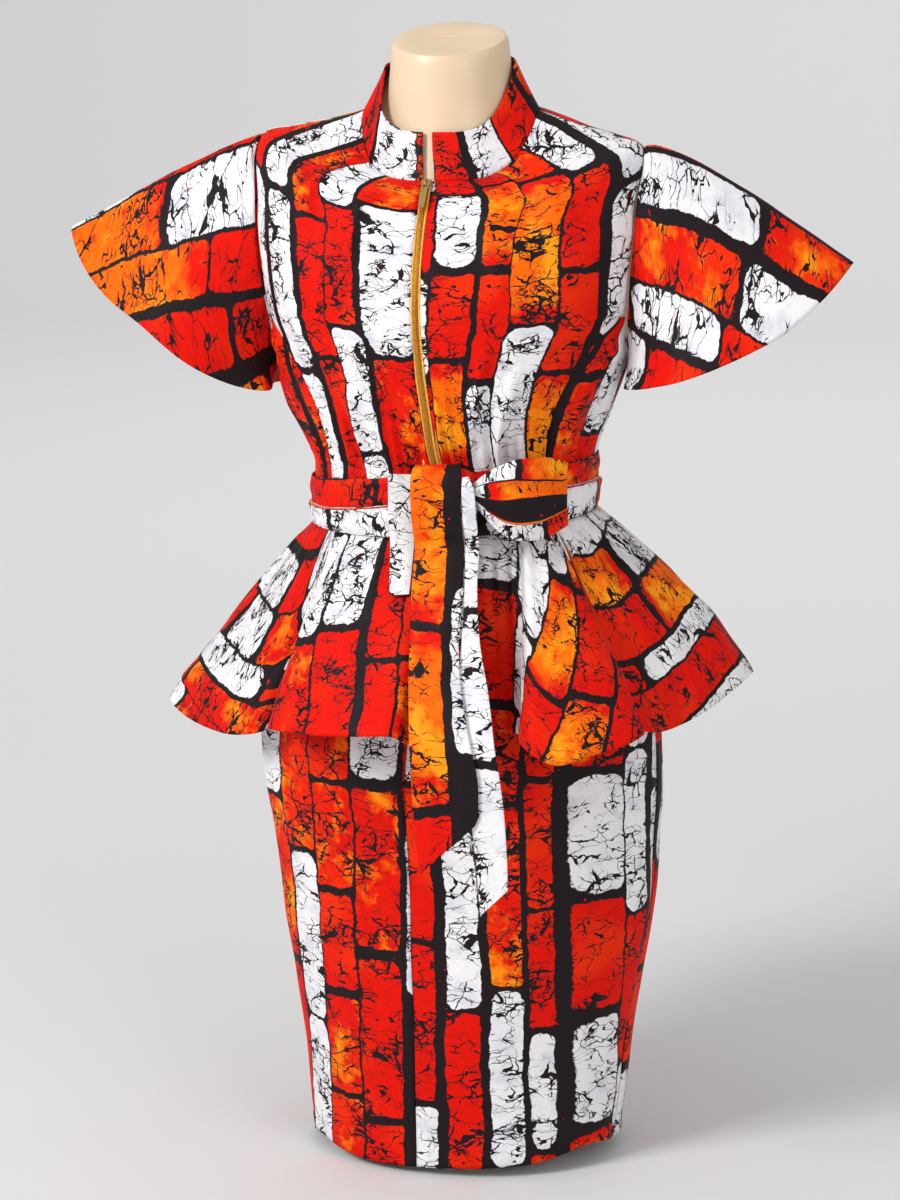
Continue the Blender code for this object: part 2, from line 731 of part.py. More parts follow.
# The wide tail comes over the knot, the narrow one beside it goes behind the wide one lower down
TAIL_WIDE = [
    (0.7205, 0.7220, -0.0060, 0.0370, 0.0160),
    (0.7165, 0.7175, -0.0080, 0.0395, 0.0247),
    (0.7040, 0.7040, -0.0090, 0.0400, 0.0301),
    (0.6840, 0.6840, -0.0090, 0.0400, 0.0297),
    (0.6580, 0.6570, -0.0085, 0.0405, 0.0240),
    (0.6320, 0.6300, -0.0075, 0.0415, 0.0150),
    (0.6030, 0.6000, -0.0065, 0.0440, 0.0080),
    (0.5600, 0.5560, -0.0020, 0.0460, 0.0050),
    (0.5150, 0.5100, 0.0030, 0.0560, 0.0048),
    (0.4700, 0.4650, 0.0080, 0.0690, 0.0040),
    (0.4250, 0.4300, 0.0100, 0.0740, 0.0034),
    (0.3850, 0.4080, 0.0130, 0.0740, 0.0034),
    (0.3470, 0.3960, 0.0170, 0.0700, 0.0034),
]
TAIL_UNDER = [
    (0.7110, 0.7120, 0.0412, 0.0470, 0.0274),
    (0.6980, 0.6980, 0.0408, 0.0530, 0.0300),
    (0.6720, 0.6720, 0.0408, 0.0545, 0.0274),
    (0.6400, 0.6400, 0.0418, 0.0555, 0.0175),
    (0.6050, 0.6050, 0.0445, 0.0570, 0.0070),
    (0.5600, 0.5600, 0.0472, 0.0650, 0.0010),
    (0.5150, 0.5150, 0.0480, 0.0790, 0.0002),
    (0.4650, 0.4650, 0.0560, 0.0900, 0.0002),
    (0.4150, 0.4150, 0.0640, 0.0970, 0.0002),
    (0.3600, 0.3700, 0.0700, 0.1000, 0.0002),
    (0.3080, 0.3350, 0.0740, 0.1010, 0.0002),
]


def tail(table, arch):
    def surface(u, v):
        z_a, z_b, x_a, x_b, off = read(table, u)
        z = mix(z_a, z_b, v)
        round_out = arch * sin(pi * v) * min(u / 3, 1.0)
        return Vector((mix(x_a, x_b, v), front_line(z) - off - round_out, z))
    return surface


# Rows of a tail that bend over the knot and the waist, which get a step between them
DRAPE_ROWS = 5


def tail_wall(name, table, arch, across_steps):
    rows = len(table)
    lengths = [i / 2 for i in range(2 * rows - 1) if i % 2 == 0 or i < 2 * DRAPE_ROWS]
    widths = [j / across_steps for j in range(across_steps + 1)]
    return ribbon(name, tail(table, arch), lengths, widths, 0.03, 0.03, side=-1)


tail_wall("sash_tail_short", TAIL_SHORT, 0.0015, 4)
tail_wall("sash_tail_wide", TAIL_WIDE, 0.0030, 6)
tail_wall("sash_tail_under", TAIL_UNDER, 0.0010, 4)

# Dress form: hips, torso under the bodice, neck and cap
FORM_STEPS = 40
# columns: z, half width, front depth, back depth, sideways shift
FORM_HIPS = [
    (0.334, 0.120, 0.074, 0.080, 0.004),
    (0.336, 0.150, 0.094, 0.100, 0.004),
    (0.345, 0.175, 0.110, 0.114, 0.004),
    (0.362, 0.187, 0.118, 0.122, 0.004),
    (0.390, 0.191, 0.121, 0.126, 0.004),
    (0.430, 0.192, 0.121, 0.127, 0.003),
    (0.470, 0.188, 0.119, 0.125, 0.002),
    (0.510, 0.179, 0.116, 0.119, 0.001),
    (0.550, 0.167, 0.112, 0.112, 0.000),
    (0.585, 0.152, 0.107, 0.101, 0.000),
    (0.615, 0.1415, 0.1045, 0.0945, 0.000),
]
# columns: z at side, z at front, z at back, half width, front depth, back depth, oval power
FORM_NECK = [
    (1.0570, 0.9990, 1.0690, 0.0740, 0.0680, 0.0540, 2.0),
    (1.0720, 1.0200, 1.0840, 0.0625, 0.0605, 0.0490, 2.0),
    (1.0900, 1.0500, 1.1020, 0.0590, 0.0585, 0.0480, 2.0),
    (1.1070, 1.0850, 1.1200, 0.0575, 0.0580, 0.0490, 2.0),
    (1.1130, 1.0980, 1.1270, 0.0555, 0.0565, 0.0480, 2.0),
    (1.1160, 1.1015, 1.1295, 0.0515, 0.0525, 0.0440, 2.0),
    (1.1165, 1.1070, 1.1270, 0.0340, 0.0340, 0.0300, 2.0),
    (1.1165, 1.1130, 1.1210, 0.0120, 0.0120, 0.0110, 2.0),
]
# Rows below this one follow the collar, the others the level cap
NECK_TOP = 3
POST_RADIUS = 0.0125
SOCKET_RADIUS = 0.0128
SOCKET_DEPTH = 0.040
angles = [360 * j / FORM_STEPS for j in range(FORM_STEPS)]


def round_ring(radius, z, x=0.0):
    return [Vector((x + radius * sin(radians(a)), -radius * cos(radians(a)), z)) for a in angles]


def form_ease(theta, t):
    if t <= 9:
        return 0.0035
    return 0.0024 + 0.0011 * cos(radians(theta)) ** 2


form_rings = [round_ring(SOCKET_RADIUS, 0.334 + SOCKET_DEPTH), round_ring(SOCKET_RADIUS, 0.334)]
for z, width, front, back, shift in FORM_HIPS:
    form_rings.append([ring_point((z, z, z, width, front, back, 2.1), a, shift) for a in angles])
for t in ROWS:
    form_rings.append([torso_moved(a, t, -WALL - form_ease(a, t)) for a in angles])
for row in FORM_NECK[:NECK_TOP]:
    form_rings.append([ring_point(row, a, 0.0, neck_fall) for a in angles])
for row in FORM_NECK[NECK_TOP:]:
    form_rings.append([ring_point(row, a, 0.0, level_fall, level_fall) for a in angles])
loft("form_body", form_rings, "form_cover")

# Stand: post with its ends in the sockets of the form and the base
BASE_RADIUS = 0.105
BASE_TOP = 0.012
loft("form_post", [round_ring(POST_RADIUS, 0.0045), round_ring(POST_RADIUS, 0.334 + SOCKET_DEPTH - 0.0003)],
     "stand_steel")
loft("form_base", [round_ring(SOCKET_RADIUS, 0.0042), round_ring(SOCKET_RADIUS, BASE_TOP + 0.006),
                   round_ring(0.018, BASE_TOP + 0.006), round_ring(0.022, BASE_TOP),
                   round_ring(BASE_RADIUS - 0.004, BASE_TOP), round_ring(BASE_RADIUS, BASE_TOP - 0.004),
                   round_ring(BASE_RADIUS, 0.0)], "stand_steel")
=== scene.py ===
# %% [markdown]
# A printed peplum dress on a limbless dress form.
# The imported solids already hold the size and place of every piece. This lesson gives each piece
# its cloth: a fine grid laid on the same form, soft creases, a thin wall and a wax print.
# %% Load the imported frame
from math import radians, sin, cos, pi

import bpy
import bmesh
import numpy as np
from mathutils import Matrix, Vector


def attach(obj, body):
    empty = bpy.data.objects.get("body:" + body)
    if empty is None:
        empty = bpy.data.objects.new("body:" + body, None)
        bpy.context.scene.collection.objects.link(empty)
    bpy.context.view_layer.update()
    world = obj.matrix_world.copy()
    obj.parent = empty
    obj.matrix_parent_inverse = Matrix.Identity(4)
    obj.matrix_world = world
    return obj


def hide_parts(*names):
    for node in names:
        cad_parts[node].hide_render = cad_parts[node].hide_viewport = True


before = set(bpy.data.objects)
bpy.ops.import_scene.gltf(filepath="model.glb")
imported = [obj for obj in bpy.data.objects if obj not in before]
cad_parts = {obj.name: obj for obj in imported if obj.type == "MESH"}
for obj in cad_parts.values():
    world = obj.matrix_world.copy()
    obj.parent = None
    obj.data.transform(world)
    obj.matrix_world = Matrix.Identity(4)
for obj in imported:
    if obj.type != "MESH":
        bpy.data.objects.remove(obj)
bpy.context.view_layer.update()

# %% [markdown]
# Cloth forms are easiest to keep in short tables: a few rows of sizes, read smoothly in between.
# NumPy reads a table for thousands of points at once, so a fine grid costs almost nothing.
# %% Smooth reading of tables


def read(table, at):
    rows = np.asarray(table, float)
    last = len(rows) - 1
    at = np.clip(np.asarray(at, float), 0, last)
    i = np.minimum(at.astype(int), last - 1)
    k = (at - i)[..., None]
    a, b, c, d = (rows[np.clip(i + s, 0, last)] for s in (-1, 0, 1, 2))
    slope_b = np.where((c - b) * (b - a) <= 0, 0, (c - a) / 2)
    slope_c = np.where((d - c) * (c - b) <= 0, 0, (d - b) / 2)
    h = k * k * (3 - 2 * k)
    return b * (1 - h) + c * h + slope_b * k * (1 - k) ** 2 - slope_c * k * k * (1 - k)


def look(table, x):
    keys = [row[0] for row in table]
    return read(table, np.interp(x, keys, range(len(keys))))


def read_round(table, at):
    rows = np.asarray(table, float)
    n = len(rows)
    whole = np.floor(at).astype(int)
    k = (np.asarray(at, float) - whole)[..., None]
    a, b, c, d = (rows[(whole + s) % n] for s in (-1, 0, 1, 2))
    return 0.5 * (2 * b + (c - a) * k + (2 * a - 5 * b + 4 * c - d) * k ** 2
                  + (3 * b - a - 3 * c + d) * k ** 3)


# How a ring's height changes from the side (0) to the front or the back (1)
def soft_fall(c):
    return c ** 1.6


def neck_fall(c):
    return 1 - (1 - c ** 1.4) ** 2


def ring(row, theta, centre=0.0, to_front=soft_fall, to_back=soft_fall):
    z_side, z_front, z_back, half_width, front, back, power = np.moveaxis(np.asarray(row), -1, 0)
    s, c = np.sin(np.radians(theta)), np.cos(np.radians(theta))
    e = 2 / power
    x = centre + half_width * np.abs(s) ** e * np.sign(s)
    c_out = np.abs(c)
    y = np.where(c > 0, -front, back) * c_out ** e
    fall = np.where(c > 0, (z_front - z_side) * to_front(c_out), (z_back - z_side) * to_back(c_out))
    return np.stack([x, y, z_side + fall], axis=-1)


def mix(a, b, k):
    return a + (b - a) * k


def step_up(x, low, high):
    k = np.clip((x - low) / (high - low), 0, 1)
    return k * k * (3 - 2 * k)


print("table readers ready")

# %% [markdown]
# Every piece of cloth goes through the same steps, as in a workroom: lay the piece out flat, put it
# on the body, press its creases in, and give it its thickness. The flat layout becomes the UV map in
# metres, so that the print keeps its true size and runs along the grain of each cut piece.
# %% Laying cloth on a grid


def outward(points):
    """The direction square to the cloth at each point of a grid."""
    across = np.gradient(points, axis=1)
    up = np.gradient(points, axis=0)
    n = np.cross(across, up)
    return n / np.maximum(np.linalg.norm(n, axis=-1, keepdims=True), 1e-12)


def run_along(path):
    steps = np.linalg.norm(np.diff(path, axis=-2), axis=-1)
    return np.concatenate([np.zeros(steps.shape[:-1] + (1,)), np.cumsum(steps, axis=-1)], axis=-1)


def flat_layout(points, centre=0.0, keep=0.0):
    """Each row is laid out straight. centre is the share of the row where x is 0, and keep is how
    far a row follows the widest one, which holds the print's bars upright."""
    x = run_along(points)
    x = x - x[:, -1:] * centre
    widest = x[np.argmax(np.ptp(x, axis=1))]
    x = mix(x, widest[None, :], keep)
    rises = np.linalg.norm(np.diff(points, axis=0), axis=-1).mean(axis=1)
    y = np.concatenate([[0], np.cumsum(rises)])
    return np.stack([x, np.repeat(y[:, None], points.shape[1], axis=1)], axis=-1)


def surface_area(points):
    a = points[1:, :-1] - points[:-1, 1:]
    b = points[1:, 1:] - points[:-1, :-1]
    return float(np.linalg.norm(np.cross(a, b), axis=-1).sum() / 2)


def grid_mesh(name, points, flat, flip=False, closed=False):
    rows, cols = points.shape[:2]
    bm = bmesh.new()
    bmesh.ops.create_grid(bm, x_segments=cols - 1, y_segments=rows - 1, size=0.5)
    layer = bm.loops.layers.uv.new("flat")
    spot = {}
    for vert in bm.verts:
        spot[vert] = (round((vert.co.y + 0.5) * (rows - 1)), round((vert.co.x + 0.5) * (cols - 1)))
    for face in bm.faces:
        face.smooth = True
        for corner in face.loops:
            corner[layer].uv = flat[spot[corner.vert]]
    for vert in bm.verts:
        vert.co = points[spot[vert]]
    if closed:
        bmesh.ops.remove_doubles(bm, verts=bm.verts, dist=0.00002)
    if flip:
        bmesh.ops.reverse_faces(bm, faces=bm.faces)
    return finished_mesh(name, bm)


def finished_mesh(name, bm, sharp_above=None):
    mesh = bpy.data.meshes.new(name)
    bm.to_mesh(mesh)
    bm.free()
    if sharp_above:
        mesh.shade_smooth()
        mesh.set_sharp_from_angle(angle=radians(sharp_above))
    return mesh


def in_scene(name, data):
    made = bpy.data.objects.new(name, data)
    bpy.context.scene.collection.objects.link(made)
    return made


def put(name, mesh, finish, node, body="dress"):
    piece = in_scene(name, mesh)
    mesh.materials.append(finish)
    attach(piece, body)
    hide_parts(node)
    return piece


CLOTH = 0.0014


def cloth(name, points, flat, node=None, flip=False, closed=False, thick=CLOTH,
          finish=None, offset=(0.0, 0.0), cut=None):
    """A piece called cloth_X covers the solid X, unless another node is named. offset moves the piece
    over the print. cut is not used."""
    mesh = grid_mesh(name, points, flat + np.array(offset), flip, closed)
    piece = put(name, mesh, finish or printed, node or name.removeprefix("cloth_"))
    wall = piece.modifiers.new("cloth wall", "SOLIDIFY")
    wall.thickness = thick
    wall.offset = -1
    area = surface_area(points)
    rows, columns = points.shape[:2]


# %% [markdown]
# Creases are soft ridges and troughs. Each has a start and an end on the flat cloth, a width and a
# height, and fades out sideways like a bell. Gathers are a row of small waves that die away from the
# seam that holds them.
# %% Creases, gathers and slight unevenness


def creases(flat, table):
    lift = np.zeros(flat.shape[:2])
    for x0, y0, x1, y1, width, height in table:
        start, run = np.array([x0, y0]), np.array([x1 - x0, y1 - y0])
        k = np.clip(((flat - start) @ run) / (run @ run), 0, 1)
        gap = np.linalg.norm(flat - (start + k[..., None] * run), axis=-1)
        sway = 1 + 0.35 * np.sin(7 * k + x0 * 90)
        lift += height * np.exp(-(gap / (width * sway)) ** 2) * (0.25 + 0.75 * np.sin(pi * k) ** 0.7)
    return lift


def gathers(flat, seam_y, reach, spacing, height, shift=0.0):
    x, y = flat[..., 0], flat[..., 1]
    uneven_reach = reach * (1 + 0.45 * np.sin(x * 83 + 3 * shift))
    fade = np.exp(-(np.abs(y - seam_y) / uneven_reach) ** 1.4)
    wave = np.sin(2 * pi * (x / spacing + 0.35 * np.sin(x * 41 + shift) + shift))
    wave = 1 - 2 * np.abs(wave / 2 - 0.5) ** 0.8
    return height * fade * wave * (0.65 + 0.35 * np.sin(x * 67 + 2 * shift))


def uneven(flat, size, height, shift=0.0):
    x, y = flat[..., 0] / size, flat[..., 1] / size
    a = np.sin(3.1 * x + 1.7 * np.sin(1.3 * y + shift) + shift)
    b = np.sin(2.3 * y + 1.9 * np.sin(1.1 * x + 2 * shift) + 1.3)
    c = np.sin(4.7 * x + 3.9 * y + 1.1 * np.sin(2.1 * x - y))
    return height * (0.5 * a * b + 0.35 * c * b + 0.25 * a)


print("crease tools ready")

# %% [markdown]
# The print is a batik: upright rounded bars in white, red and orange on charcoal, with fine dark
# crackle where the wax broke. It is worked out on the flat cloth, in metres. Columns are numbered with
# Floor, each gets a random bar length from White Noise, and a rounded box gives each bar its outline.
# The layout here is a generic one of its own.
# %% Small tools for shader nodes


def group_tree(name, inputs, outputs):
    tree = bpy.data.node_groups.new(name, "ShaderNodeTree")
    for label, kind in inputs:
        tree.interface.new_socket(name=label, in_out="INPUT", socket_type=kind)
    for label, kind in outputs:
        tree.interface.new_socket(name=label, in_out="OUTPUT", socket_type=kind)
    return tree, tree.nodes.new("NodeGroupInput"), tree.nodes.new("NodeGroupOutput")


class Net:
    """Short calls that add a node or two and return the result."""

    def __init__(self, tree):
        self.tree = tree

    def feed(self, socket, value):
        if isinstance(value, bpy.types.NodeSocket):
            self.tree.links.new(value, socket)
        else:
            socket.default_value = value

    def math(self, kind, a, b=0.0, c=0.0, clamp=False):
        node = self.tree.nodes.new("ShaderNodeMath")
        node.operation = kind
        node.use_clamp = clamp
        for socket, value in zip(node.inputs, (a, b, c)):
            self.feed(socket, value)
        return node.outputs[0]

    def noise(self, vector, scale, detail=2.0, rough=0.5, out="Fac"):
        node = self.tree.nodes.new("ShaderNodeTexNoise")
        self.feed(node.inputs["Vector"], vector)
        node.inputs["Scale"].default_value = scale
        node.inputs["Detail"].default_value = detail
        node.inputs["Roughness"].default_value = rough
        return node.outputs[out]

    def edges(self, vector, scale):
        node = self.tree.nodes.new("ShaderNodeTexVoronoi")
        node.feature = "DISTANCE_TO_EDGE"
        self.feed(node.inputs["Vector"], vector)
        node.inputs["Scale"].default_value = scale
        return node.outputs["Distance"]

    def spread(self, value, low, high, to_low=0.0, to_high=1.0):
        node = self.tree.nodes.new("ShaderNodeMapRange")
        node.interpolation_type = "SMOOTHSTEP"
        for socket, v in zip(node.inputs, (value, low, high, to_low, to_high)):
            self.feed(socket, v)
        return node.outputs[0]

    def vector(self, x, y, z=0.0):
        node = self.tree.nodes.new("ShaderNodeCombineXYZ")
        for socket, v in zip(node.inputs, (x, y, z)):
            self.feed(socket, v)
        return node.outputs[0]

    def parts(self, vector):
        node = self.tree.nodes.new("ShaderNodeSeparateXYZ")
        self.feed(node.inputs[0], vector)
        return node.outputs

    def dice(self, vector):
        node = self.tree.nodes.new("ShaderNodeTexWhiteNoise")
        node.noise_dimensions = "3D"
        self.feed(node.inputs["Vector"], vector)
        split = self.tree.nodes.new("ShaderNodeSeparateColor")
        self.tree.links.new(node.outputs["Color"], split.inputs[0])
        return split.outputs

    def blend(self, amount, a, b):
        node = self.tree.nodes.new("ShaderNodeMix")
        node.data_type = "RGBA"
        self.feed(node.inputs["Factor"], amount)
        self.feed(node.inputs[6], a)
        self.feed(node.inputs[7], b)
        return node.outputs[2]

    def flat_map(self):
        node = self.tree.nodes.new("ShaderNodeUVMap")
        node.uv_map = "flat"
        return node.outputs["UV"]

    def place(self):
        return self.tree.nodes.new("ShaderNodeTexCoord").outputs["Object"]

    def pattern(self, group, flat):
        node = self.tree.nodes.new("ShaderNodeGroup")
        node.node_tree = group
        self.feed(node.inputs["Flat"], flat)
        return node.outputs

    def bump(self, height, distance, strength, shader):
        node = self.tree.nodes.new("ShaderNodeBump")
        node.inputs["Distance"].default_value = distance
        node.inputs["Strength"].default_value = strength
        self.feed(node.inputs["Height"], height)
        self.feed(shader.inputs["Normal"], node.outputs[0])


print("shader tools ready")

# %% [markdown]
# A bar's colour comes from one random number, and the shares below set how many bars are white,
# orange or charcoal. The rest are red. Distances are in metres on the flat cloth. A second random
# number decides whether a red bar glows with orange spots, as where dye ran under the wax.
# %% The print's colours and sizes
CHARCOAL = (0.0135, 0.0090, 0.0105, 1)
WHITE = (0.80, 0.79, 0.80, 1)
PALE = (0.62, 0.62, 0.68, 1)
RED = (0.71, 0.006, 0.0008, 1)
FLAME = (0.80, 0.026, 0.0010, 1)
ORANGE = (0.88, 0.13, 0.001, 1)
YELLOW = (0.94, 0.31, 0.008, 1)
DEEP_RED = (0.60, 0.006, 0.0015, 1)
# Random numbers below the first are white bars, up to the second orange, and past the third charcoal
WHITE_BELOW, ORANGE_BELOW, CHARCOAL_ABOVE = 0.345, 0.44, 0.982
GLOWS_ABOVE = 0.60
COLUMN = 0.047
SHORTEST_BAR, LENGTH_RANGE = 0.105, 0.085
NARROW_GAP = 0.0009
BAR_CORNER, WHITE_CORNER_MORE = 0.0055, 0.0065
RAGGED_EDGE = 0.0026
THREAD = 0.0009
print("column", COLUMN, "m, bars from", SHORTEST_BAR, "to", SHORTEST_BAR + LENGTH_RANGE, "m")

# %% [markdown]
# The gap beside a column is narrow or wide, by the dice of its own edge, which both its neighbours
# read, so they agree. Inside its column a bar is a box with round corners: the distance from the
# box, made ragged by fine noise, says where the charcoal ground begins.
# %% Bars


def bar_gap(net, edge_dice):
    wide = net.math("MULTIPLY", net.math("SUBTRACT", edge_dice, 0.48), 0.0125)
    wide = net.math("MULTIPLY", wide, net.math("GREATER_THAN", edge_dice, 0.57))
    return net.math("ADD", wide, NARROW_GAP)


def find_bar(net, flat, wobble):
    """Which column and bar a point is in, and where in them it lies."""
    m = net.math
    x, y, _ = net.parts(flat)
    sway = m("SUBTRACT", net.noise(flat, 7.0, 1.0), 0.5)
    bar_x = m("ADD", x, m("ADD", m("MULTIPLY", sway, 0.020), m("MULTIPLY", wobble, 0.0075)))
    stretch = net.noise(net.vector(bar_x, 0.0, 3.7), 15.0, 0.0)
    column = m("ADD", m("DIVIDE", bar_x, COLUMN), m("MULTIPLY", stretch, 1.1))
    i = m("FLOOR", column)
    fx = m("MULTIPLY", m("SUBTRACT", column, i), COLUMN)
    first = net.dice(net.vector(i, 5.3, 1.1))
    length = m("ADD", m("MULTIPLY", first[0], LENGTH_RANGE), SHORTEST_BAR)
    wavy_y = m("ADD", y, m("MULTIPLY", wobble, 0.012))
    along = m("ADD", m("DIVIDE", wavy_y, length), m("MULTIPLY", first[1], 31.0))
    j = m("FLOOR", along)
    return i, j, fx, m("SUBTRACT", along, j), length


def distance_from_bar(net, i, fx, fy, length, pick, is_white):
    m = net.math
    left = bar_gap(net, net.dice(net.vector(i, 8.8, 1.9))[0])
    right = bar_gap(net, net.dice(net.vector(m("ADD", i, 1.0), 8.8, 1.9))[0])
    left = m("ADD", left, m("MULTIPLY", pick[1], 0.0016))
    half_w = m("MULTIPLY", m("SUBTRACT", COLUMN, m("ADD", left, right)), 0.5)
    middle = m("ADD", left, half_w)
    half_l = m("SUBTRACT", m("MULTIPLY", length, 0.5), m("ADD", m("MULTIPLY", pick[2], 0.0050), 0.0012))
    corner = m("ADD", m("MULTIPLY", is_white, WHITE_CORNER_MORE), BAR_CORNER)
    dx = m("SUBTRACT", m("ABSOLUTE", m("SUBTRACT", fx, middle)), half_w)
    dy = m("SUBTRACT", m("MULTIPLY", m("ABSOLUTE", m("SUBTRACT", fy, 0.5)), length), half_l)
    ax = m("MAXIMUM", m("ADD", dx, corner), 0.0)
    ay = m("MAXIMUM", m("ADD", dy, corner), 0.0)
    return m("SUBTRACT", m("SQRT", m("ADD", m("MULTIPLY", ax, ax), m("MULTIPLY", ay, ay))), corner)


# %% [markdown]
# Dye is never even. Red deepens in spots and turns to flame in places, some red bars glow orange and
# yellow, orange bars redden towards their ends, and white is a little grey where the wax was thin.
# %% Dyes


def bar_colour(net, flat, fy, wobble, glow_dice, is_white, is_orange):
    m = net.math
    x, y, _ = net.parts(flat)
    glow = net.noise(net.vector(x, m("MULTIPLY", y, 0.7), 1.3), 24.0, 2.0)
    spots = net.noise(net.vector(x, y, 4.0), 95.0, 3.0, 0.6)
    heat = m("ADD", glow, m("MULTIPLY", m("SUBTRACT", spots, 0.5), 0.45))
    has_glow = m("GREATER_THAN", glow_dice, GLOWS_ABOVE)
    warm = m("MULTIPLY", net.spread(heat, 0.52, 0.66), has_glow)
    hot = m("MULTIPLY", net.spread(heat, 0.62, 0.78), has_glow)
    red = net.blend(net.spread(spots, 0.30, 0.55), DEEP_RED, RED)
    red = net.blend(net.spread(net.noise(net.vector(x, y, 5.5), 13.0, 1.0), 0.46, 0.72), red, FLAME)
    red = net.blend(hot, net.blend(warm, red, ORANGE), YELLOW)
    from_middle = m("ABSOLUTE", m("SUBTRACT", fy, 0.5))
    ends = net.spread(m("ADD", from_middle, m("MULTIPLY", wobble, 0.5)), 0.26, 0.46)
    orange = net.blend(net.spread(heat, 0.44, 0.66), ORANGE, YELLOW)
    orange = net.blend(m("MAXIMUM", ends, net.spread(spots, 0.30, 0.44, 0.8, 0.0)), orange, RED)
    white = net.blend(net.spread(net.noise(flat, 30.0, 4.0, 0.65), 0.30, 0.56), PALE, WHITE)
    return net.blend(is_white, net.blend(is_orange, red, orange), white)


# %% [markdown]
# The wax cracks in three sizes: wandering veins, a fine net beside them, and hairs along the cloth.
# Veins and net are the borders of Voronoi cells on a warped layout, and noise breaks them up so that
# none runs on for long. Blots gather where cracks are many and at the bars' edges.
# %% Cracks in the wax


def wax_cracks(net, flat, away):
    m = net.math
    x, y, _ = net.parts(flat)
    drift = net.parts(net.noise(flat, 40.0, 3.0, 0.6, "Color"))
    crack_x = m("ADD", x, m("MULTIPLY", drift[0], 0.022))
    crack_y = m("ADD", y, m("MULTIPLY", drift[1], 0.022))
    where = net.noise(net.vector(x, y, 9.0), 19.0, 2.0)
    busy = net.spread(where, 0.38, 0.62)
    broken = net.noise(net.vector(x, y, 14.0), 34.0, 2.0)
    vein = net.edges(net.vector(m("MULTIPLY", crack_x, 0.72), m("MULTIPLY", crack_y, 1.45)), 44.0)
    vein_width = m("ADD", m("MULTIPLY", busy, 0.040), 0.014)
    vein = m("LESS_THAN", vein, m("MULTIPLY", vein_width, net.spread(broken, 0.36, 0.62)))
    fine = net.edges(net.vector(crack_x, m("MULTIPLY", crack_y, 1.35)), 118.0)
    fine_width = m("MULTIPLY", net.spread(broken, 0.40, 0.60), 0.085)
    fine = m("LESS_THAN", fine, m("MULTIPLY", net.spread(where, 0.47, 0.66), fine_width))
    hair = net.noise(net.vector(m("MULTIPLY", crack_x, 0.30), crack_y, 6.0), 52.0, 2.0, 0.6)
    hair_width = m("MULTIPLY", net.spread(broken, 0.42, 0.60), 0.013)
    hair = m("LESS_THAN", m("ABSOLUTE", m("SUBTRACT", hair, 0.5)), hair_width)
    near_edge = net.spread(away, -0.0085, 0.0, 0.0, 0.040)
    blot = net.noise(net.vector(x, y, 7.0), 78.0, 5.0, 0.66)
    blot = m("ADD", blot, m("ADD", near_edge, m("MULTIPLY", busy, 0.075)))
    blot = net.spread(blot, 0.712, 0.724)
    return m("MAXIMUM", m("MAXIMUM", vein, fine), m("MAXIMUM", hair, blot)), busy


print("bars, dyes and cracks ready")

# %% [markdown]
# The print group puts the bars, dyes and cracks together, and a second group gives the plain weave's
# threads and the crumple of washed cotton as a height.
# %% Print and weave groups


def print_group():
    tree, given, result = group_tree("batik print", [("Flat", "NodeSocketVector")],
                                     [("Color", "NodeSocketColor"), ("Dark", "NodeSocketFloat")])
    net = Net(tree)
    m = net.math
    flat = given.outputs["Flat"]
    x, y, _ = net.parts(flat)
    wobble = m("SUBTRACT", net.noise(flat, 52.0, 3.0), 0.5)
    i, j, fx, fy, length = find_bar(net, flat, wobble)
    pick = net.dice(net.vector(i, j, 2.7))
    glow_dice = net.dice(net.vector(i, j, 9.1))[0]
    is_white = m("LESS_THAN", pick[0], WHITE_BELOW)
    is_orange = m("MULTIPLY", m("GREATER_THAN", pick[0], WHITE_BELOW), m("LESS_THAN", pick[0], ORANGE_BELOW))
    is_charcoal = m("GREATER_THAN", pick[0], CHARCOAL_ABOVE)
    away = distance_from_bar(net, i, fx, fy, length, pick, is_white)
    ragged = m("SUBTRACT", net.noise(flat, 230.0, 3.0), 0.5)
    away = m("ADD", away, m("MULTIPLY", ragged, RAGGED_EDGE))
    outside = m("MAXIMUM", net.spread(away, -0.0005, 0.0003), is_charcoal)
    colour = bar_colour(net, flat, fy, wobble, glow_dice, is_white, is_orange)
    cracks, busy = wax_cracks(net, flat, away)
    dark = m("MAXIMUM", cracks, outside, clamp=True)
    fleck = m("MULTIPLY", net.spread(net.noise(net.vector(x, y, 11.0), 130.0, 3.0), 0.70, 0.72), busy)
    net.feed(result.inputs["Color"], net.blend(dark, colour, net.blend(fleck, CHARCOAL, RED)))
    net.feed(result.inputs["Dark"], dark)
    return tree


def weave_group():
    tree, given, result = group_tree("plain weave", [("Flat", "NodeSocketVector")],
                                     [("Height", "NodeSocketFloat")])
    net = Net(tree)
    m = net.math
    flat = given.outputs["Flat"]
    x, y, _ = net.parts(flat)
    warp = m("SINE", m("MULTIPLY", x, 2 * pi / THREAD))
    weft = m("SINE", m("MULTIPLY", y, 2 * pi / THREAD))
    threads = m("MULTIPLY", m("ADD", warp, weft), 0.02)
    crumple = net.noise(flat, 38.0, 4.0, 0.55)
    net.feed(result.inputs["Height"], m("ADD", threads, m("MULTIPLY", crumple, 1.4)))
    return tree


BATIK = print_group()
WEAVE = weave_group()
print("print group", len(BATIK.nodes), "nodes, weave group", len(WEAVE.nodes))

# %% [markdown]
# The material reads the print and the weave on the piece's own flat layout. Cotton is matt, with the
# faintest sheen, and its charcoal ground is a little smoother than the dyed bars.
# %% Printed cotton


def finish_material(name, colour, rough, metal=0.0):
    made = bpy.data.materials.new(name)
    made.use_nodes = True
    shader = made.node_tree.nodes["Principled BSDF"]
    shader.inputs["Base Color"].default_value = colour
    shader.inputs["Roughness"].default_value = rough
    shader.inputs["Metallic"].default_value = metal
    return made, Net(made.node_tree), shader


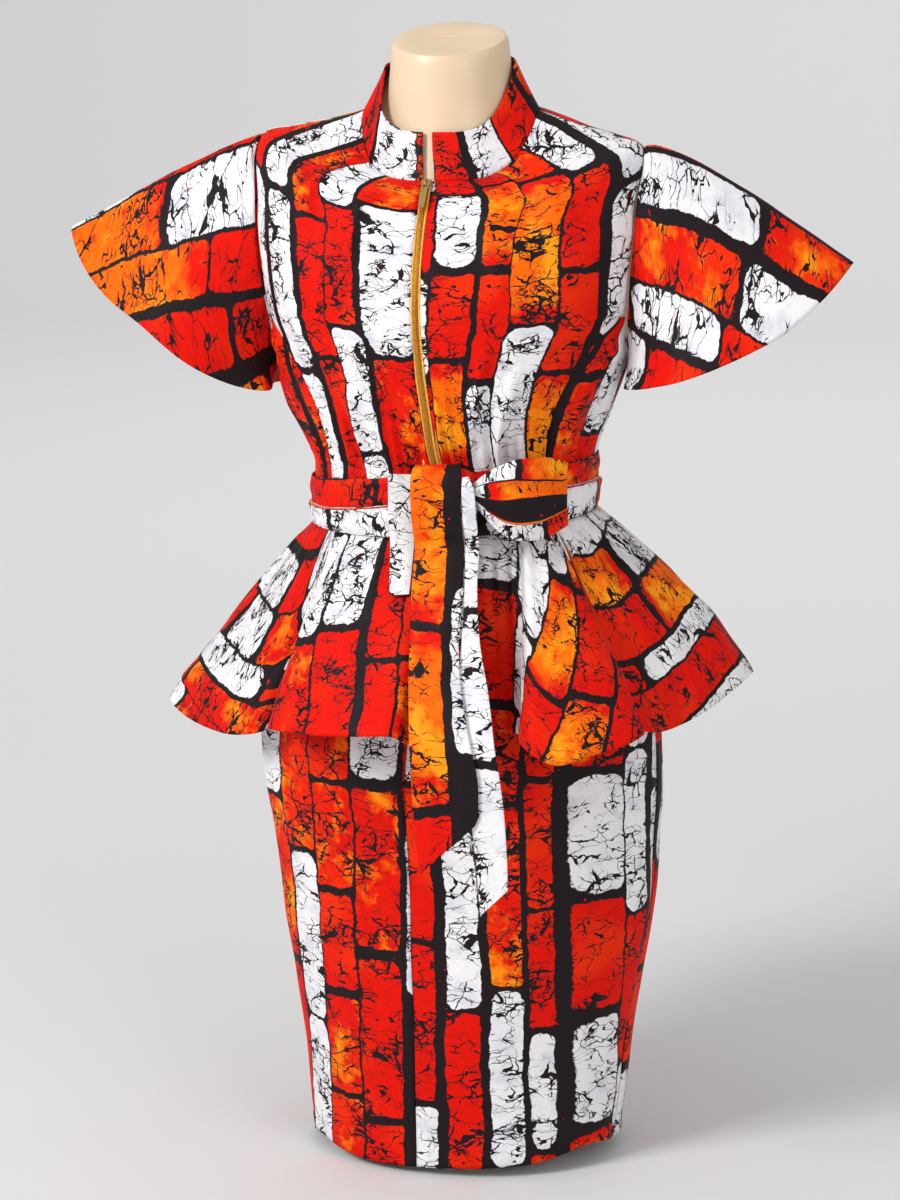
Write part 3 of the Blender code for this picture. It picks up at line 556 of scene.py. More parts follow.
def printed_cotton():
    made, net, shader = finish_material("printed cotton", RED, 0.62)
    flat = net.flat_map()
    pattern = net.pattern(BATIK, flat)
    net.feed(shader.inputs["Base Color"], pattern["Color"])
    net.feed(shader.inputs["Roughness"], net.spread(pattern["Dark"], 0.0, 1.0, 0.68, 0.56))
    net.bump(net.pattern(WEAVE, flat)["Height"], 0.0011, 0.55, shader)
    shader.inputs["Sheen Weight"].default_value = 0.01
    shader.inputs["Sheen Roughness"].default_value = 0.4
    shader.inputs["Specular IOR Level"].default_value = 0.09
    return made


printed = printed_cotton()
print("made", printed.name)

# %% [markdown]
# The bodice is cut in panels that all lie on one dressed torso. Each ring of the torso is an oval
# whose front, side and back may stand at different heights, which lets the rings climb over the
# shoulders to the neck.
# %% The dressed torso
# columns: z at side, z at front, z at back, half width, front depth, back depth, oval power
TORSO = [
    (0.640, 0.640, 0.640, 0.139, 0.113, 0.099, 2.1),
    (0.700, 0.700, 0.700, 0.139, 0.112, 0.098, 2.1),
    (0.730, 0.730, 0.730, 0.145, 0.115, 0.101, 2.1),
    (0.765, 0.765, 0.765, 0.161, 0.122, 0.106, 2.1),
    (0.800, 0.800, 0.800, 0.173, 0.129, 0.110, 2.1),
    (0.835, 0.835, 0.835, 0.179, 0.134, 0.113, 2.1),
    (0.870, 0.866, 0.870, 0.186, 0.135, 0.115, 2.1),
    (0.910, 0.896, 0.910, 0.192, 0.130, 0.116, 2.15),
    (0.950, 0.923, 0.950, 0.195, 0.120, 0.114, 2.2),
    (0.988, 0.946, 0.984, 0.195, 0.108, 0.107, 2.2),
    (1.0185, 0.961, 1.012, 0.187, 0.097, 0.096, 2.15),
    (1.0265, 0.971, 1.031, 0.163, 0.089, 0.084, 2.1),
    (1.0360, 0.978, 1.046, 0.125, 0.084, 0.073, 2.0),
    (1.047, 0.984, 1.059, 0.087, 0.079, 0.062, 2.0),
]
TOP_ROW = len(TORSO) - 1
SIDE_LINE = 90.0
# Princess seam and armhole: torso row, angle from the centre front
PRINCESS = [(0, 49), (1, 49), (2, 48), (3, 46), (4, 50), (5, 62), (5.5, 72)]
ARMHOLE = [(4, 90), (5, 80), (5.5, 76.5), (6, 74.5), (7, 72), (8, 72), (9, 76), (10, 90)]
# Zip line: torso row, distance to the wearer's left of the centre
ZIP_LINE = [(0, 0.010), (1, 0.008), (2, 0.003), (3, 0.000), (4, -0.003), (6, -0.0055), (9, -0.0055),
            (13, -0.0062)]
ZIP_HALF_GAP = 0.0046
# Panels stop this many degrees short of their seam
SEAM_ANGLE = 0.10
# The wearer's left shoulder sits lower, a drop for each metre out from the centre
SHOULDER_TILT = 0.030
# Torso rows where that drop sets in, where it is full, and where it starts to fade
DROP_STARTS, DROP_FULL, DROP_FADES = 6.5, 9.5, 10.8
# How much each row has of the neck's rounder dip: torso row, share
NECK_SHARE = [(10, 0.0), (11, 0.15), (12, 0.5), (13, 1.0)]
# Small steps along the surface that give the direction out of it: degrees, rows, rows from its ends
ANGLE_STEP, ROW_STEP, FROM_ENDS = 0.5, 0.02, 0.03


def torso(theta, t):
    neck = look(NECK_SHARE, np.clip(t, NECK_SHARE[0][0], TOP_ROW))[..., 1]
    points = ring(read(TORSO, t), theta, 0.0, lambda c: mix(soft_fall(c), neck_fall(c), neck))
    share = step_up(t, DROP_STARTS, DROP_FULL) * (1 - step_up(t, DROP_FADES, TOP_ROW))
    points[..., 2] -= SHOULDER_TILT * share * points[..., 0]
    return points


def torso_moved(theta, t, out):
    t = np.broadcast_to(np.asarray(t, float), np.shape(theta))
    safe = np.clip(t, FROM_ENDS, TOP_ROW - FROM_ENDS)
    across = torso(theta + ANGLE_STEP, safe) - torso(theta - ANGLE_STEP, safe)
    up = torso(theta, safe + ROW_STEP) - torso(theta, safe - ROW_STEP)
    n = np.cross(across, up)
    n /= np.linalg.norm(n, axis=-1, keepdims=True)
    return torso(theta, t) + n * np.asarray(out)[..., None]


def princess(t):
    return look(PRINCESS, t)[..., 1]


def armhole(t):
    low, high = ARMHOLE[0][0], ARMHOLE[-1][0]
    return np.where((t > low) & (t < high), look(ARMHOLE, np.clip(t, low, high))[..., 1], SIDE_LINE)


def zip_line(t):
    return look(ZIP_LINE, t)[..., 1]


def angle_at(x, t):
    row = read(TORSO, t)
    s = (np.abs(x) / row[..., 3]) ** (row[..., 6] / 2)
    return np.degrees(np.arcsin(s)) * np.sign(x)


def panel_grid(rows, first, last, columns):
    t = np.asarray(rows, float)
    a, b = first(t), last(t)
    k = np.linspace(0, 1, columns + 1)
    theta = a[:, None] + (b - a)[:, None] * k[None, :]
    return theta, np.repeat(t[:, None], columns + 1, axis=1)


print("torso rings", len(TORSO))

# %% [markdown]
# The two fronts meet at the zip. A crisp cotton shows soft upright gathers where the sash pulls it in,
# a few slanting folds from the neck to the bust, and a slight hollow along each sewn seam.
# %% Bodice panels
SIDE_TOP = 5.5
BODICE_ROWS = np.linspace(0, TOP_ROW, 105)
SIDE_ROWS = np.linspace(0, SIDE_TOP, 50)
CREASE_STRENGTH = 2.7
GATHER_HEIGHT = 0.0042
DEEPEST, HIGHEST = -0.0027, 0.0080
UPRIGHT_GRAIN = 0.45


def seam_hollow(points, width=0.006, depth=0.0006):
    x = run_along(points)
    edge = np.minimum(x, x[:, -1:] - x)
    return -depth * np.exp(-(edge / width) ** 2)


def press(t, flat, table, shift):
    lift = creases(flat, table) * CREASE_STRENGTH
    lift += gathers(flat, seam_y=0.075, reach=0.052, spacing=0.019, height=GATHER_HEIGHT, shift=shift)
    lift += uneven(flat, size=0.060, height=0.0012, shift=shift)
    calm_at_edges = step_up(t, 0.9, 1.5) * (1 - step_up(t, 11.5, 12.9) * 0.85)
    return np.clip(lift * calm_at_edges, DEEPEST, HIGHEST)


def bodice_panel(name, rows, first, last, columns, centre, table, shift, offset):
    theta, t = panel_grid(rows, first, last, columns)
    base = torso_moved(theta, t, np.zeros(theta.shape))
    flat = flat_layout(base, centre, UPRIGHT_GRAIN)
    points = torso_moved(theta, t, press(t, flat, table, shift) + seam_hollow(base))
    cloth(name, points, flat, offset=offset)


def front_outer(t):
    return np.where(t <= SIDE_TOP, princess(t), armhole(t))


def zip_edge(side):
    return lambda t: angle_at(zip_line(t) + side * ZIP_HALF_GAP, t)


# columns: start x, start y, end x, end y, width, height
LEFT_FOLDS = [
    (0.050, 0.395, 0.085, 0.260, 0.010, 0.0022), (0.075, 0.405, 0.125, 0.290, 0.011, -0.0016),
    (0.100, 0.400, 0.150, 0.310, 0.009, 0.0018), (0.060, 0.090, 0.075, 0.190, 0.008, 0.0020),
    (0.095, 0.085, 0.120, 0.170, 0.009, 0.0022), (0.030, 0.085, 0.035, 0.150, 0.007, -0.0014),
    (0.120, 0.200, 0.165, 0.215, 0.012, 0.0014),
]
RIGHT_FOLDS = [(-x0 * 1.04, y0, -x1 * 0.97, y1, w, h * 1.1) for x0, y0, x1, y1, w, h in LEFT_FOLDS]
bodice_panel("cloth_bodice_front_left", BODICE_ROWS, zip_edge(1), lambda t: front_outer(t) - SEAM_ANGLE,
             56, 0.0, LEFT_FOLDS, 0.4, offset=(0.013, 0.0))
bodice_panel("cloth_bodice_front_right", BODICE_ROWS, lambda t: -front_outer(t) + SEAM_ANGLE, zip_edge(-1),
             56, 1.0, RIGHT_FOLDS, 1.9, offset=(13.045, 0.270))
SIDE_FOLDS = [(0.020, 0.080, 0.030, 0.170, 0.008, 0.0022), (0.055, 0.085, 0.050, 0.150, 0.008, -0.0014),
              (0.010, 0.200, 0.060, 0.185, 0.010, 0.0016)]
bodice_panel("cloth_bodice_side_left", SIDE_ROWS, lambda t: princess(t) + SEAM_ANGLE,
             lambda t: armhole(t) - SEAM_ANGLE, 28, 0.0, SIDE_FOLDS, 2.6, offset=(0.31, 0.21))
bodice_panel("cloth_bodice_side_right", SIDE_ROWS, lambda t: -armhole(t) + SEAM_ANGLE,
             lambda t: -princess(t) - SEAM_ANGLE, 28, 0.0, SIDE_FOLDS, 0.9, offset=(-0.57, 0.34))
BACK_FOLDS = [(-0.090, 0.400, -0.120, 0.300, 0.010, 0.0018), (0.085, 0.405, 0.120, 0.300, 0.010, 0.0018),
              (-0.050, 0.085, -0.060, 0.190, 0.009, 0.0022), (0.045, 0.085, 0.060, 0.180, 0.009, 0.0020),
              (0.000, 0.090, 0.004, 0.170, 0.010, -0.0014)]
bodice_panel("cloth_bodice_back", BODICE_ROWS, lambda t: 180 - armhole(t) + SEAM_ANGLE,
             lambda t: 180 + armhole(t) - SEAM_ANGLE, 110, 0.5, BACK_FOLDS, 3.3, offset=(1.30, 0.10))

# %% [markdown]
# The stand collar is two layers of cotton with a stiffener, so it keeps a clean curve. It leans in
# towards the neck and its ends stand open above the zip.
# %% Collar
# columns: z at side, z at front, z at back, half width, front depth, back depth, oval power
COLLAR = [
    (1.0482, 0.9853, 1.0602, 0.0864, 0.0784, 0.0614, 2.0),
    (1.0610, 0.9990, 1.0760, 0.0790, 0.0735, 0.0590, 2.0),
    (1.0770, 1.0150, 1.0930, 0.0705, 0.0685, 0.0570, 2.0),
    (1.0910, 1.0290, 1.1080, 0.0640, 0.0640, 0.0555, 2.0),
]
# columns: collar row, angle of the wearer's right end, angle of the left end
COLLAR_ENDS = [(0, -7.2, 0.6), (3, -12.4, -3.6)]
COLLAR_COLUMNS = 160
# Its lowest row reaches this far down to the neck seam
COLLAR_SEAT = 0.0018
# The collar stands off the neck at the wearer's right front
FLARE = np.array([-0.0085, -0.0030, 0.0])
FLARE_AT, FLARE_REACH = 308, 21


def collar():
    v = np.linspace(0, 3, 16)
    ends = look(COLLAR_ENDS, v)
    theta, rows = panel_grid(v, lambda t: ends[:, 2], lambda t: 360 + ends[:, 1], COLLAR_COLUMNS)
    points = ring(read(COLLAR, rows), theta, 0.0, neck_fall)
    flat = flat_layout(points, 0.5, 1.0)
    points += outward(points) * uneven(flat, size=0.05, height=0.0005)[..., None]
    points[0, :, 2] -= COLLAR_SEAT
    beside = np.exp(-((theta - FLARE_AT) / FLARE_REACH) ** 2) * (rows / 3) ** 1.3
    points += FLARE * beside[..., None]
    cloth("cloth_collar", points, flat, thick=0.0019, offset=(12.791, 0.530))


collar()

# %% [markdown]
# The flutter sleeves are flared pieces sewn to the armhole. Laid flat such a sleeve is a fan, so its
# print runs parallel to the fan's middle line and slants at both edges, as on the real one.
# %% Flutter sleeves
# columns: torso row of the seam point, angle from the side line (front is negative)
SLEEVE_SEAM = [
    (4.05, 0.0), (4.40, -4.5), (5.15, -11.5), (6.00, -15.5), (7.00, -18.0), (8.10, -18.0), (9.15, -13.5),
    (9.92, 0.0),
    (9.15, 13.5), (8.10, 18.0), (7.00, 18.0), (6.00, 15.5), (5.15, 11.5), (4.40, 4.5),
]
# columns: distance from the centre, y, z, extra height on the wearer's right
SLEEVE_HEM = [
    (0.1830, 0.000, 0.782, -0.005), (0.1770, -0.044, 0.784, -0.009), (0.2080, -0.075, 0.790, -0.005),
    (0.2450, -0.092, 0.800, 0.007), (0.2920, -0.090, 0.820, 0.023), (0.3340, -0.071, 0.842, 0.026),
    (0.3700, -0.038, 0.875, 0.029), (0.3910, 0.002, 0.903, 0.028), (0.3700, 0.045, 0.880, 0.027),
    (0.3350, 0.075, 0.847, 0.024), (0.2880, 0.090, 0.820, 0.021), (0.2380, 0.088, 0.800, 0.007),
    (0.2000, 0.070, 0.789, -0.005), (0.1780, 0.038, 0.783, -0.008),
]
# How far each sleeve head rises above a straight line, wearer's left and right
CROWN = {1: 0.0145, -1: 0.0050}
# Half the angle of the flat fan, and its radius at the armhole
FAN = radians(33)
FAN_RADIUS = 0.37
SLEEVE_TURN = len(SLEEVE_HEM)
SLEEVE_TOP = SLEEVE_TURN // 2
FLUTES, FLUTE_DEPTH = 5, 0.0035
ARMHOLE_LAP = 0.0019


def sleeve_body(side, u, v):
    seam = read_round(SLEEVE_SEAM, u[0])
    start = torso_moved(side * (90 + seam[:, 1]), seam[:, 0], np.full(len(seam), ARMHOLE_LAP))
    hem = read_round(SLEEVE_HEM, u[0])
    end = np.stack([side * hem[:, 0], hem[:, 1], hem[:, 2] + (hem[:, 3] if side < 0 else 0)], axis=-1)
    points = start[None] + (end - start)[None] * v[..., None]
    y = points[..., 1]
    flute = FLUTE_DEPTH * v * v * np.sin(2 * pi * u * FLUTES / SLEEVE_TURN + 0.7)
    away = np.stack([np.full(u.shape, side * 0.3), np.sign(y), np.full(u.shape, 0.25)], axis=-1)
    points = points + away * (np.minimum(np.abs(y) / 0.06, 1) * flute)[..., None]
    beside = np.cos(pi / 2 * np.minimum(np.abs(u - SLEEVE_TOP) / 3.4, 1)) ** 2
    points[..., 2] += CROWN[side] * np.sin(pi * v ** 0.65) * beside
    return points, np.linalg.norm(end - start, axis=-1)


def sleeve(name, side, offset):
    u, v = np.broadcast_arrays(np.linspace(0, SLEEVE_TURN, 169)[None, :], np.linspace(0, 1, 46)[:, None])
    points, reach = sleeve_body(side, u, v)
    angle = (u - SLEEVE_TOP) / SLEEVE_TOP * FAN
    radius = FAN_RADIUS + reach[None] * v
    flat = np.stack([radius * np.sin(angle) * side, radius * np.cos(angle)], axis=-1)
    along_seam = np.stack([(u - SLEEVE_TOP) * 0.03, v * 0.2], axis=-1)
    small = gathers(along_seam, seam_y=0.0, reach=0.04, spacing=0.016, height=0.0011, shift=side)
    lift = small * step_up(v, 0.0, 0.06)
    lift += uneven(flat, size=0.06, height=0.0011, shift=side) * step_up(v, 0.02, 0.3)
    points = points - outward(points) * (side * lift)[..., None]
    points[:, -1] = points[:, 0]
    cloth(name, points, flat, flip=side > 0, closed=True, offset=offset)


sleeve("cloth_sleeve_left", 1, (12.912, 0.305))
sleeve("cloth_sleeve_right", -1, (3.57, 0.17))

# %% [markdown]
# The peplum is a circle-cut flounce. Cut from a ring of cloth, its print stays upright at the front
# and turns lengthwise towards the sides. Its hem table holds the deep folds in the order they fall.
# %% Peplum
# columns: angle at the waist, hem x, hem y, hem z, outward bulge
PEPLUM = [
    (-90, -0.307, 0.010, 0.448, 0.004), (-80, -0.271, -0.042, 0.440, 0.004),
    (-66, -0.220, -0.092, 0.438, 0.004), (-54, -0.184, -0.112, 0.443, 0.004),
    (-47, -0.166, -0.126, 0.451, 0.000), (-42, -0.157, -0.152, 0.459, 0.004),
    (-33, -0.124, -0.182, 0.464, 0.008), (-22, -0.090, -0.204, 0.468, 0.008),
    (-10, -0.040, -0.224, 0.474, 0.008), (-3, -0.010, -0.229, 0.476, 0.008),
    (2, 0.006, -0.214, 0.466, 0.006), (7, 0.021, -0.178, 0.466, 0.000),
    (16, 0.050, -0.160, 0.468, -0.002), (26, 0.078, -0.158, 0.468, -0.002), (33, 0.098, -0.168, 0.469, 0.000),
    (37, 0.107, -0.205, 0.471, 0.004), (40, 0.120, -0.235, 0.470, 0.010), (43, 0.147, -0.236, 0.458, 0.012),
    (46, 0.175, -0.220, 0.464, 0.012), (49, 0.207, -0.192, 0.470, 0.010), (52, 0.219, -0.168, 0.474, 0.006),
    (56, 0.219, -0.140, 0.470, 0.004), (64, 0.232, -0.112, 0.465, 0.010), (77, 0.266, -0.058, 0.476, 0.016),
    (90, 0.295, 0.010, 0.496, 0.016), (102, 0.284, 0.062, 0.486, 0.013), (114, 0.248, 0.108, 0.472, 0.008),
    (124, 0.212, 0.130, 0.467, 0.002), (134, 0.188, 0.178, 0.466, 0.006), (145, 0.142, 0.213, 0.468, 0.008),
    (157, 0.092, 0.222, 0.468, 0.006), (168, 0.052, 0.186, 0.470, 0.000), (180, 0.004, 0.178, 0.470, 0.000),
    (192, -0.046, 0.190, 0.469, 0.000), (203, -0.092, 0.224, 0.466, 0.006),
    (215, -0.146, 0.211, 0.463, 0.008), (226, -0.192, 0.176, 0.459, 0.006),
    (236, -0.214, 0.128, 0.456, 0.002), (246, -0.250, 0.104, 0.450, 0.006),
    (258, -0.292, 0.060, 0.446, 0.006),
]
TURN = len(PEPLUM)
# The side seams, as rows of the hem table, and half the gap at each
RIGHT_SEAM, LEFT_SEAM, HALF_GAP = -0.8, 24.8, 0.004
# How far the peplum's top lies off the bodice, and how far below the sash it starts
PEPLUM_LAP = 0.0025
BAND_GAP = 0.0008
WAIST_RADIUS = 0.127
# columns: hem table row, reach in rows, and how far the hem moves there
# The front fold laps over the cloth beside it, and the right front stands over a deep valley
HEM_MOVES = [(21.1, 0.55, (-0.014, 0.003, 0.0)), (4.1, 0.65, (0.010, 0.020, 0.0))]
# How far the print leans from upright along the hem: hem table row, degrees
PRINT_LEAN = [(-1, -82), (3, -78), (4.6, -12), (9, -2), (14, 4), (16, 20), (19.8, 30), (20.9, 72),
              (23, 80), (26, 90), (30, 120), (33, 180), (36, 240), (39, 278)]


def sash_low(theta):
    s = np.sin(np.radians(theta))
    return 0.6535 + 0.0080 * s + 0.0055 * s * s


def sash_high(theta):
    s = np.sin(np.radians(theta))
    return 0.7055 + 0.0115 * s - 0.0050 * s * s


def waist_row(z):
    return np.where(z > 0.700, 1 + (z - 0.700) / 0.030, (z - 0.640) / 0.060)


def print_layout(u, end, reach, v):
    lean = np.radians(np.interp(u, [row[0] for row in PRINT_LEAN], [row[1] for row in PRINT_LEAN]))
    steps = np.linalg.norm(np.diff(end, axis=0), axis=-1)
    middle = (lean[1:] + lean[:-1]) / 2
    hem_x = np.concatenate([[0], np.cumsum(np.cos(middle) * steps)])
    hem_y = np.concatenate([[0], np.cumsum(np.sin(middle) * steps)])
    up = reach * (1 - v)
    return np.stack([hem_x[None] - np.sin(lean)[None] * up, hem_y[None] + np.cos(lean)[None] * up], axis=-1)


def peplum_edges(u):
    """The waist edge, the hem and the bulge between them, at rows u of the hem table."""
    table = read_round(PEPLUM, u)
    angles = [row[0] for row in PEPLUM] + [270]
    wrapped = u % TURN
    smooth = (wrapped > 2) & (wrapped < TURN - 2)
    theta = np.where(smooth, table[:, 0], np.interp(wrapped, range(TURN + 1), angles))
    start = torso_moved(theta, waist_row(sash_low(theta) - BAND_GAP), np.full(len(u), PEPLUM_LAP))
    end = table[:, 1:4]
    for row, wide, move in HEM_MOVES:
        end = end + np.array(move) * np.exp(-((wrapped - row) / wide) ** 2)[:, None]
    return start, end, table[:, 4]


def ring_cut(hem_run, reach):
    """Width and length of the flat ring that such a hem and depth are cut from."""
    outer = WAIST_RADIUS + reach.mean()
    half_turn = hem_run[-1] / outer / 2
    return 2 * outer * sin(min(half_turn, pi / 2)), outer - WAIST_RADIUS * cos(half_turn)


def peplum(name, first, last, columns, offset, shift):
    u = np.linspace(first, last, columns + 1)
    v = np.linspace(0, 1, 56)[:, None]
    start, end, bulge = peplum_edges(u)
    away = end * np.array([1, 1, 0])
    away /= np.linalg.norm(away, axis=-1, keepdims=True)
    bulge = bulge[None, :] * 4 * v * (1 - v)
    points = start[None] + (end - start)[None] * v[..., None] + away[None] * bulge[..., None]
    reach = np.linalg.norm(end - start, axis=-1)
    around = np.stack(np.broadcast_arrays(run_along(start)[None], v * reach[None]), axis=-1)
    lift = gathers(around, seam_y=0.0, reach=0.085, spacing=0.017, height=0.0034, shift=shift)
    lift *= step_up(v, 0.02, 0.16)
    upright = around * np.array([2.2, 1.0])
    lift += uneven(upright, size=0.050, height=0.0022, shift=shift) * step_up(v, 0.1, 0.5)
    points = points - outward(points) * lift[..., None]
    cloth(name, points, print_layout(u, end, reach[None], v), flip=True,
          offset=offset, cut=ring_cut(run_along(end), reach))


peplum("cloth_peplum_front", RIGHT_SEAM + HALF_GAP, LEFT_SEAM - HALF_GAP, 420, (3.94, 0.50), 0.3)
peplum("cloth_peplum_back", LEFT_SEAM + HALF_GAP, TURN + RIGHT_SEAM - HALF_GAP, 240, (5.31, 0.47), 1.7)

# %% [markdown]
# The pencil skirt is three smooth panels: two fronts joined by a seam down the middle, and a back.
# It sits a little turned on the form, which the seam's place shows.
# %% Skirt
# columns: z, half width, front depth, back depth, sideways shift
SKIRT = [
    (0.010, 0.160, 0.124, 0.122, 0.006), (0.068, 0.164, 0.125, 0.123, 0.007),
    (0.125, 0.170, 0.127, 0.125, 0.008), (0.190, 0.180, 0.129, 0.127, 0.009),
    (0.235, 0.188, 0.130, 0.129, 0.009), (0.280, 0.193, 0.131, 0.131, 0.010),
    (0.335, 0.197, 0.131, 0.133, 0.009), (0.380, 0.202, 0.131, 0.135, 0.007),
    (0.430, 0.203, 0.130, 0.136, 0.004), (0.500, 0.192, 0.126, 0.130, 0.002),
    (0.550, 0.177, 0.121, 0.120, 0.001), (0.600, 0.157, 0.115, 0.108, 0.000),
    (0.6393, 0.1388, 0.1128, 0.0988, 0.000),
]
SKIRT_TOP = SKIRT[-1][0]
# Degrees that the skirt sits turned below the waist, and over what height it gets there
SKIRT_TURN, TURN_HEIGHT = -8.0, 0.25
# The hem's stitching pulls a shallow groove in, this far above the edge
HEM_DEPTH, HEM_GROOVE = 0.022, 0.0007
SKIRT_CREASE_STRENGTH = 1.5


# The hem's height above the floor, its tilt to one side, and its rise at the four corners
HEM_HEIGHT, HEM_TILT, TILT_TURN = 0.0095, 0.005, 10
CORNER_RISE, CORNER_AT, CORNER_REACH = 0.010, 58, 18


def skirt_hem(theta):
    folded = np.degrees(np.arcsin(np.abs(np.sin(np.radians(theta + SKIRT_TURN)))))
    corner = CORNER_RISE * np.exp(-((folded - CORNER_AT) / CORNER_REACH) ** 2)
    return HEM_HEIGHT + HEM_TILT * np.sin(np.radians(theta - TILT_TURN)) + corner


def skirt_surface(theta, z):
    row = look(SKIRT, z)
    width, front, back, shift = (row[..., i] for i in range(1, 5))
    theta = theta + SKIRT_TURN * np.clip((SKIRT_TOP - z) / TURN_HEIGHT, 0, 1)
    power = np.full(z.shape, 2.1)
    return ring(np.stack([z, z, z, width, front, back, power], axis=-1), theta, shift)


def skirt_panel(name, first, last, columns, centre, table, offset, shift):
    theta, v = np.broadcast_arrays(np.linspace(first, last, columns + 1)[None, :],
                                   np.linspace(0, 1, 126)[:, None])
    hem = skirt_hem(theta)
    z = mix(hem, SKIRT_TOP, v)
    points = skirt_surface(theta, z)
    flat = flat_layout(points, centre)
    flat[..., 1] = z
    lift = creases(flat, table) * SKIRT_CREASE_STRENGTH
    lift += uneven(flat, size=0.11, height=0.0014, shift=shift)
    lift = lift * (1 - step_up(z, 0.52, 0.60)) + seam_hollow(points, width=0.005, depth=0.0009)
    lift -= HEM_GROOVE * np.exp(-((z - hem - HEM_DEPTH) / 0.003) ** 2)
    points = points + outward(points) * lift[..., None]
    cloth(name, points, flat, offset=offset)


SKIRT_FOLDS = [
    (0.020, 0.450, 0.120, 0.425, 0.016, 0.0022), (0.080, 0.380, 0.180, 0.400, 0.018, -0.0018),
    (0.060, 0.100, 0.070, 0.330, 0.022, 0.0020), (0.130, 0.060, 0.150, 0.300, 0.024, -0.0020),
    (0.180, 0.300, 0.220, 0.440, 0.020, 0.0022),
]
MIRRORED = [(-x0, y0 * 1.02, -x1 * 0.95, y1, w, h) for x0, y0, x1, y1, w, h in SKIRT_FOLDS]
skirt_panel("cloth_skirt_front_right", -90 + SEAM_ANGLE, -SEAM_ANGLE, 56, 1.0, MIRRORED, (6.19, 0.0), 0.8)
skirt_panel("cloth_skirt_front_left", SEAM_ANGLE, 90 - SEAM_ANGLE, 56, 0.0, SKIRT_FOLDS, (7.33, 0.0), 2.1)
BACK_SKIRT = [(-0.100, 0.100, -0.110, 0.330, 0.024, 0.0022), (0.090, 0.080, 0.110, 0.320, 0.024, -0.0020),
              (-0.050, 0.430, 0.060, 0.440, 0.018, 0.0020)]
skirt_panel("cloth_skirt_back", 90 + SEAM_ANGLE, 270 - SEAM_ANGLE, 110, 0.5, BACK_SKIRT, (8.41, 0.0), 3.0)

# %% [markdown]
# The sash is a long strip of the same cotton, folded lengthwise, wound once and tied. Its print runs
# along it. Two folds show along the band, and small creases gather towards the knot.
# %% Sash band
# columns: height across the band, distance off the bodice
SASH_SECTION = [
    (0.000, 0.0036), (0.10, 0.0050), (0.34, 0.0060), (0.47, 0.0068), (0.50, 0.0062), (0.525, 0.0036),
    (0.62, 0.0046), (0.86, 0.0056), (1.00, 0.0038),
]
SASH_WIDE = 0.062
# Cloth folded away behind the band's upper layer, and the radius that the band runs at
SASH_HIDDEN = 0.151
SASH_RADIUS = 0.128
KNOT_ANGLE, KNOT_PULL = 8, 45
RIPPLE = 0.0016


def sash_band():
    theta, k = np.broadcast_arrays(np.linspace(-170, 190, 301)[None, :], np.linspace(0, 1, 61)[:, None])
    fold_line = 0.50 + 0.05 * np.sin(np.radians(theta * 2 + 40))
    fold_k = np.clip(k - (fold_line - 0.5) * np.sin(pi * k), 0, 1)
    run = np.radians(theta) * SASH_RADIUS
    flat = np.stack([fold_k * SASH_WIDE + SASH_HIDDEN * step_up(fold_k, 0.49, 0.53), run], axis=-1)
    to_knot = np.exp(-(np.abs(theta - KNOT_ANGLE) / KNOT_PULL) ** 2)
    wander = k * 3.2 + 0.7 * np.sin(run * 26) + 0.3 * np.sin(run * 61)
    lift = RIPPLE * np.sin(2 * pi * wander) * (0.25 + 0.75 * to_knot) * np.sin(pi * k) ** 0.5
    across = np.stack([k * 0.052, run], axis=-1)
    lift = lift + uneven(across, size=0.028, height=0.0011, shift=1.0) * np.sin(pi * k)
    out = look(SASH_SECTION, fold_k)[..., 1] + np.maximum(lift, -0.0012)
    points = torso_moved(theta, waist_row(mix(sash_low(theta), sash_high(theta), k)), out)
    points[:, -1] = points[:, 0]
    cloth("cloth_sash_band", points, flat, closed=True, thick=0.0020,
          offset=(12.727, 0.500), cut=(SASH_WIDE, float(np.ptp(run))))


sash_band()

# %% [markdown]
# The knot is the sash pulled over itself, a puffed lump with creases that run into its two ends. A
# grid rolled round its long axis makes it, squashed flat towards the band.
# %% Sash knot
KNOT_AT = np.array([0.021, -0.1343, 0.7000])
KNOT_HALF_LONG, KNOT_HALF_DEEP, KNOT_HALF_HIGH = 0.030, 0.0165, 0.0170
KNOT_BACK = 0.0164
KNOT_SLOPE = 0.004
KNOT_PRINT = [10.26, 0.93]


def sash_knot():
    a, k = np.broadcast_arrays(np.linspace(0, 2 * pi, 97)[None, :], np.linspace(0.0, pi, 49)[:, None])
    round_k = np.sin(k)
    swell = 1 + 0.07 * np.cos(3 * a + 0.6) * round_k
    pleat = 1 + 0.045 * np.sin(7 * a + 1.5 * np.cos(k)) * round_k * (0.4 + 0.6 * np.abs(np.cos(k)))
    size = round_k ** 0.8
    x = -np.cos(k) * KNOT_HALF_LONG * np.where(k > 3, 0.985, 1)
    y = np.minimum(np.sin(a) * size * KNOT_HALF_DEEP * swell * pleat, KNOT_BACK)
    z = np.cos(a) * size * KNOT_HALF_HIGH * swell * pleat + KNOT_SLOPE * x / KNOT_HALF_LONG
    points = KNOT_AT + np.stack([x, y, z], axis=-1)
    flat = np.stack([k * 0.03, a * 0.018], axis=-1) + KNOT_PRINT
    mesh = grid_mesh("cloth_sash_knot", points, flat, closed=True)
    put("cloth_sash_knot", mesh, printed, "sash_knot")


sash_knot()
print("knot", 2 * KNOT_HALF_LONG, "m long")

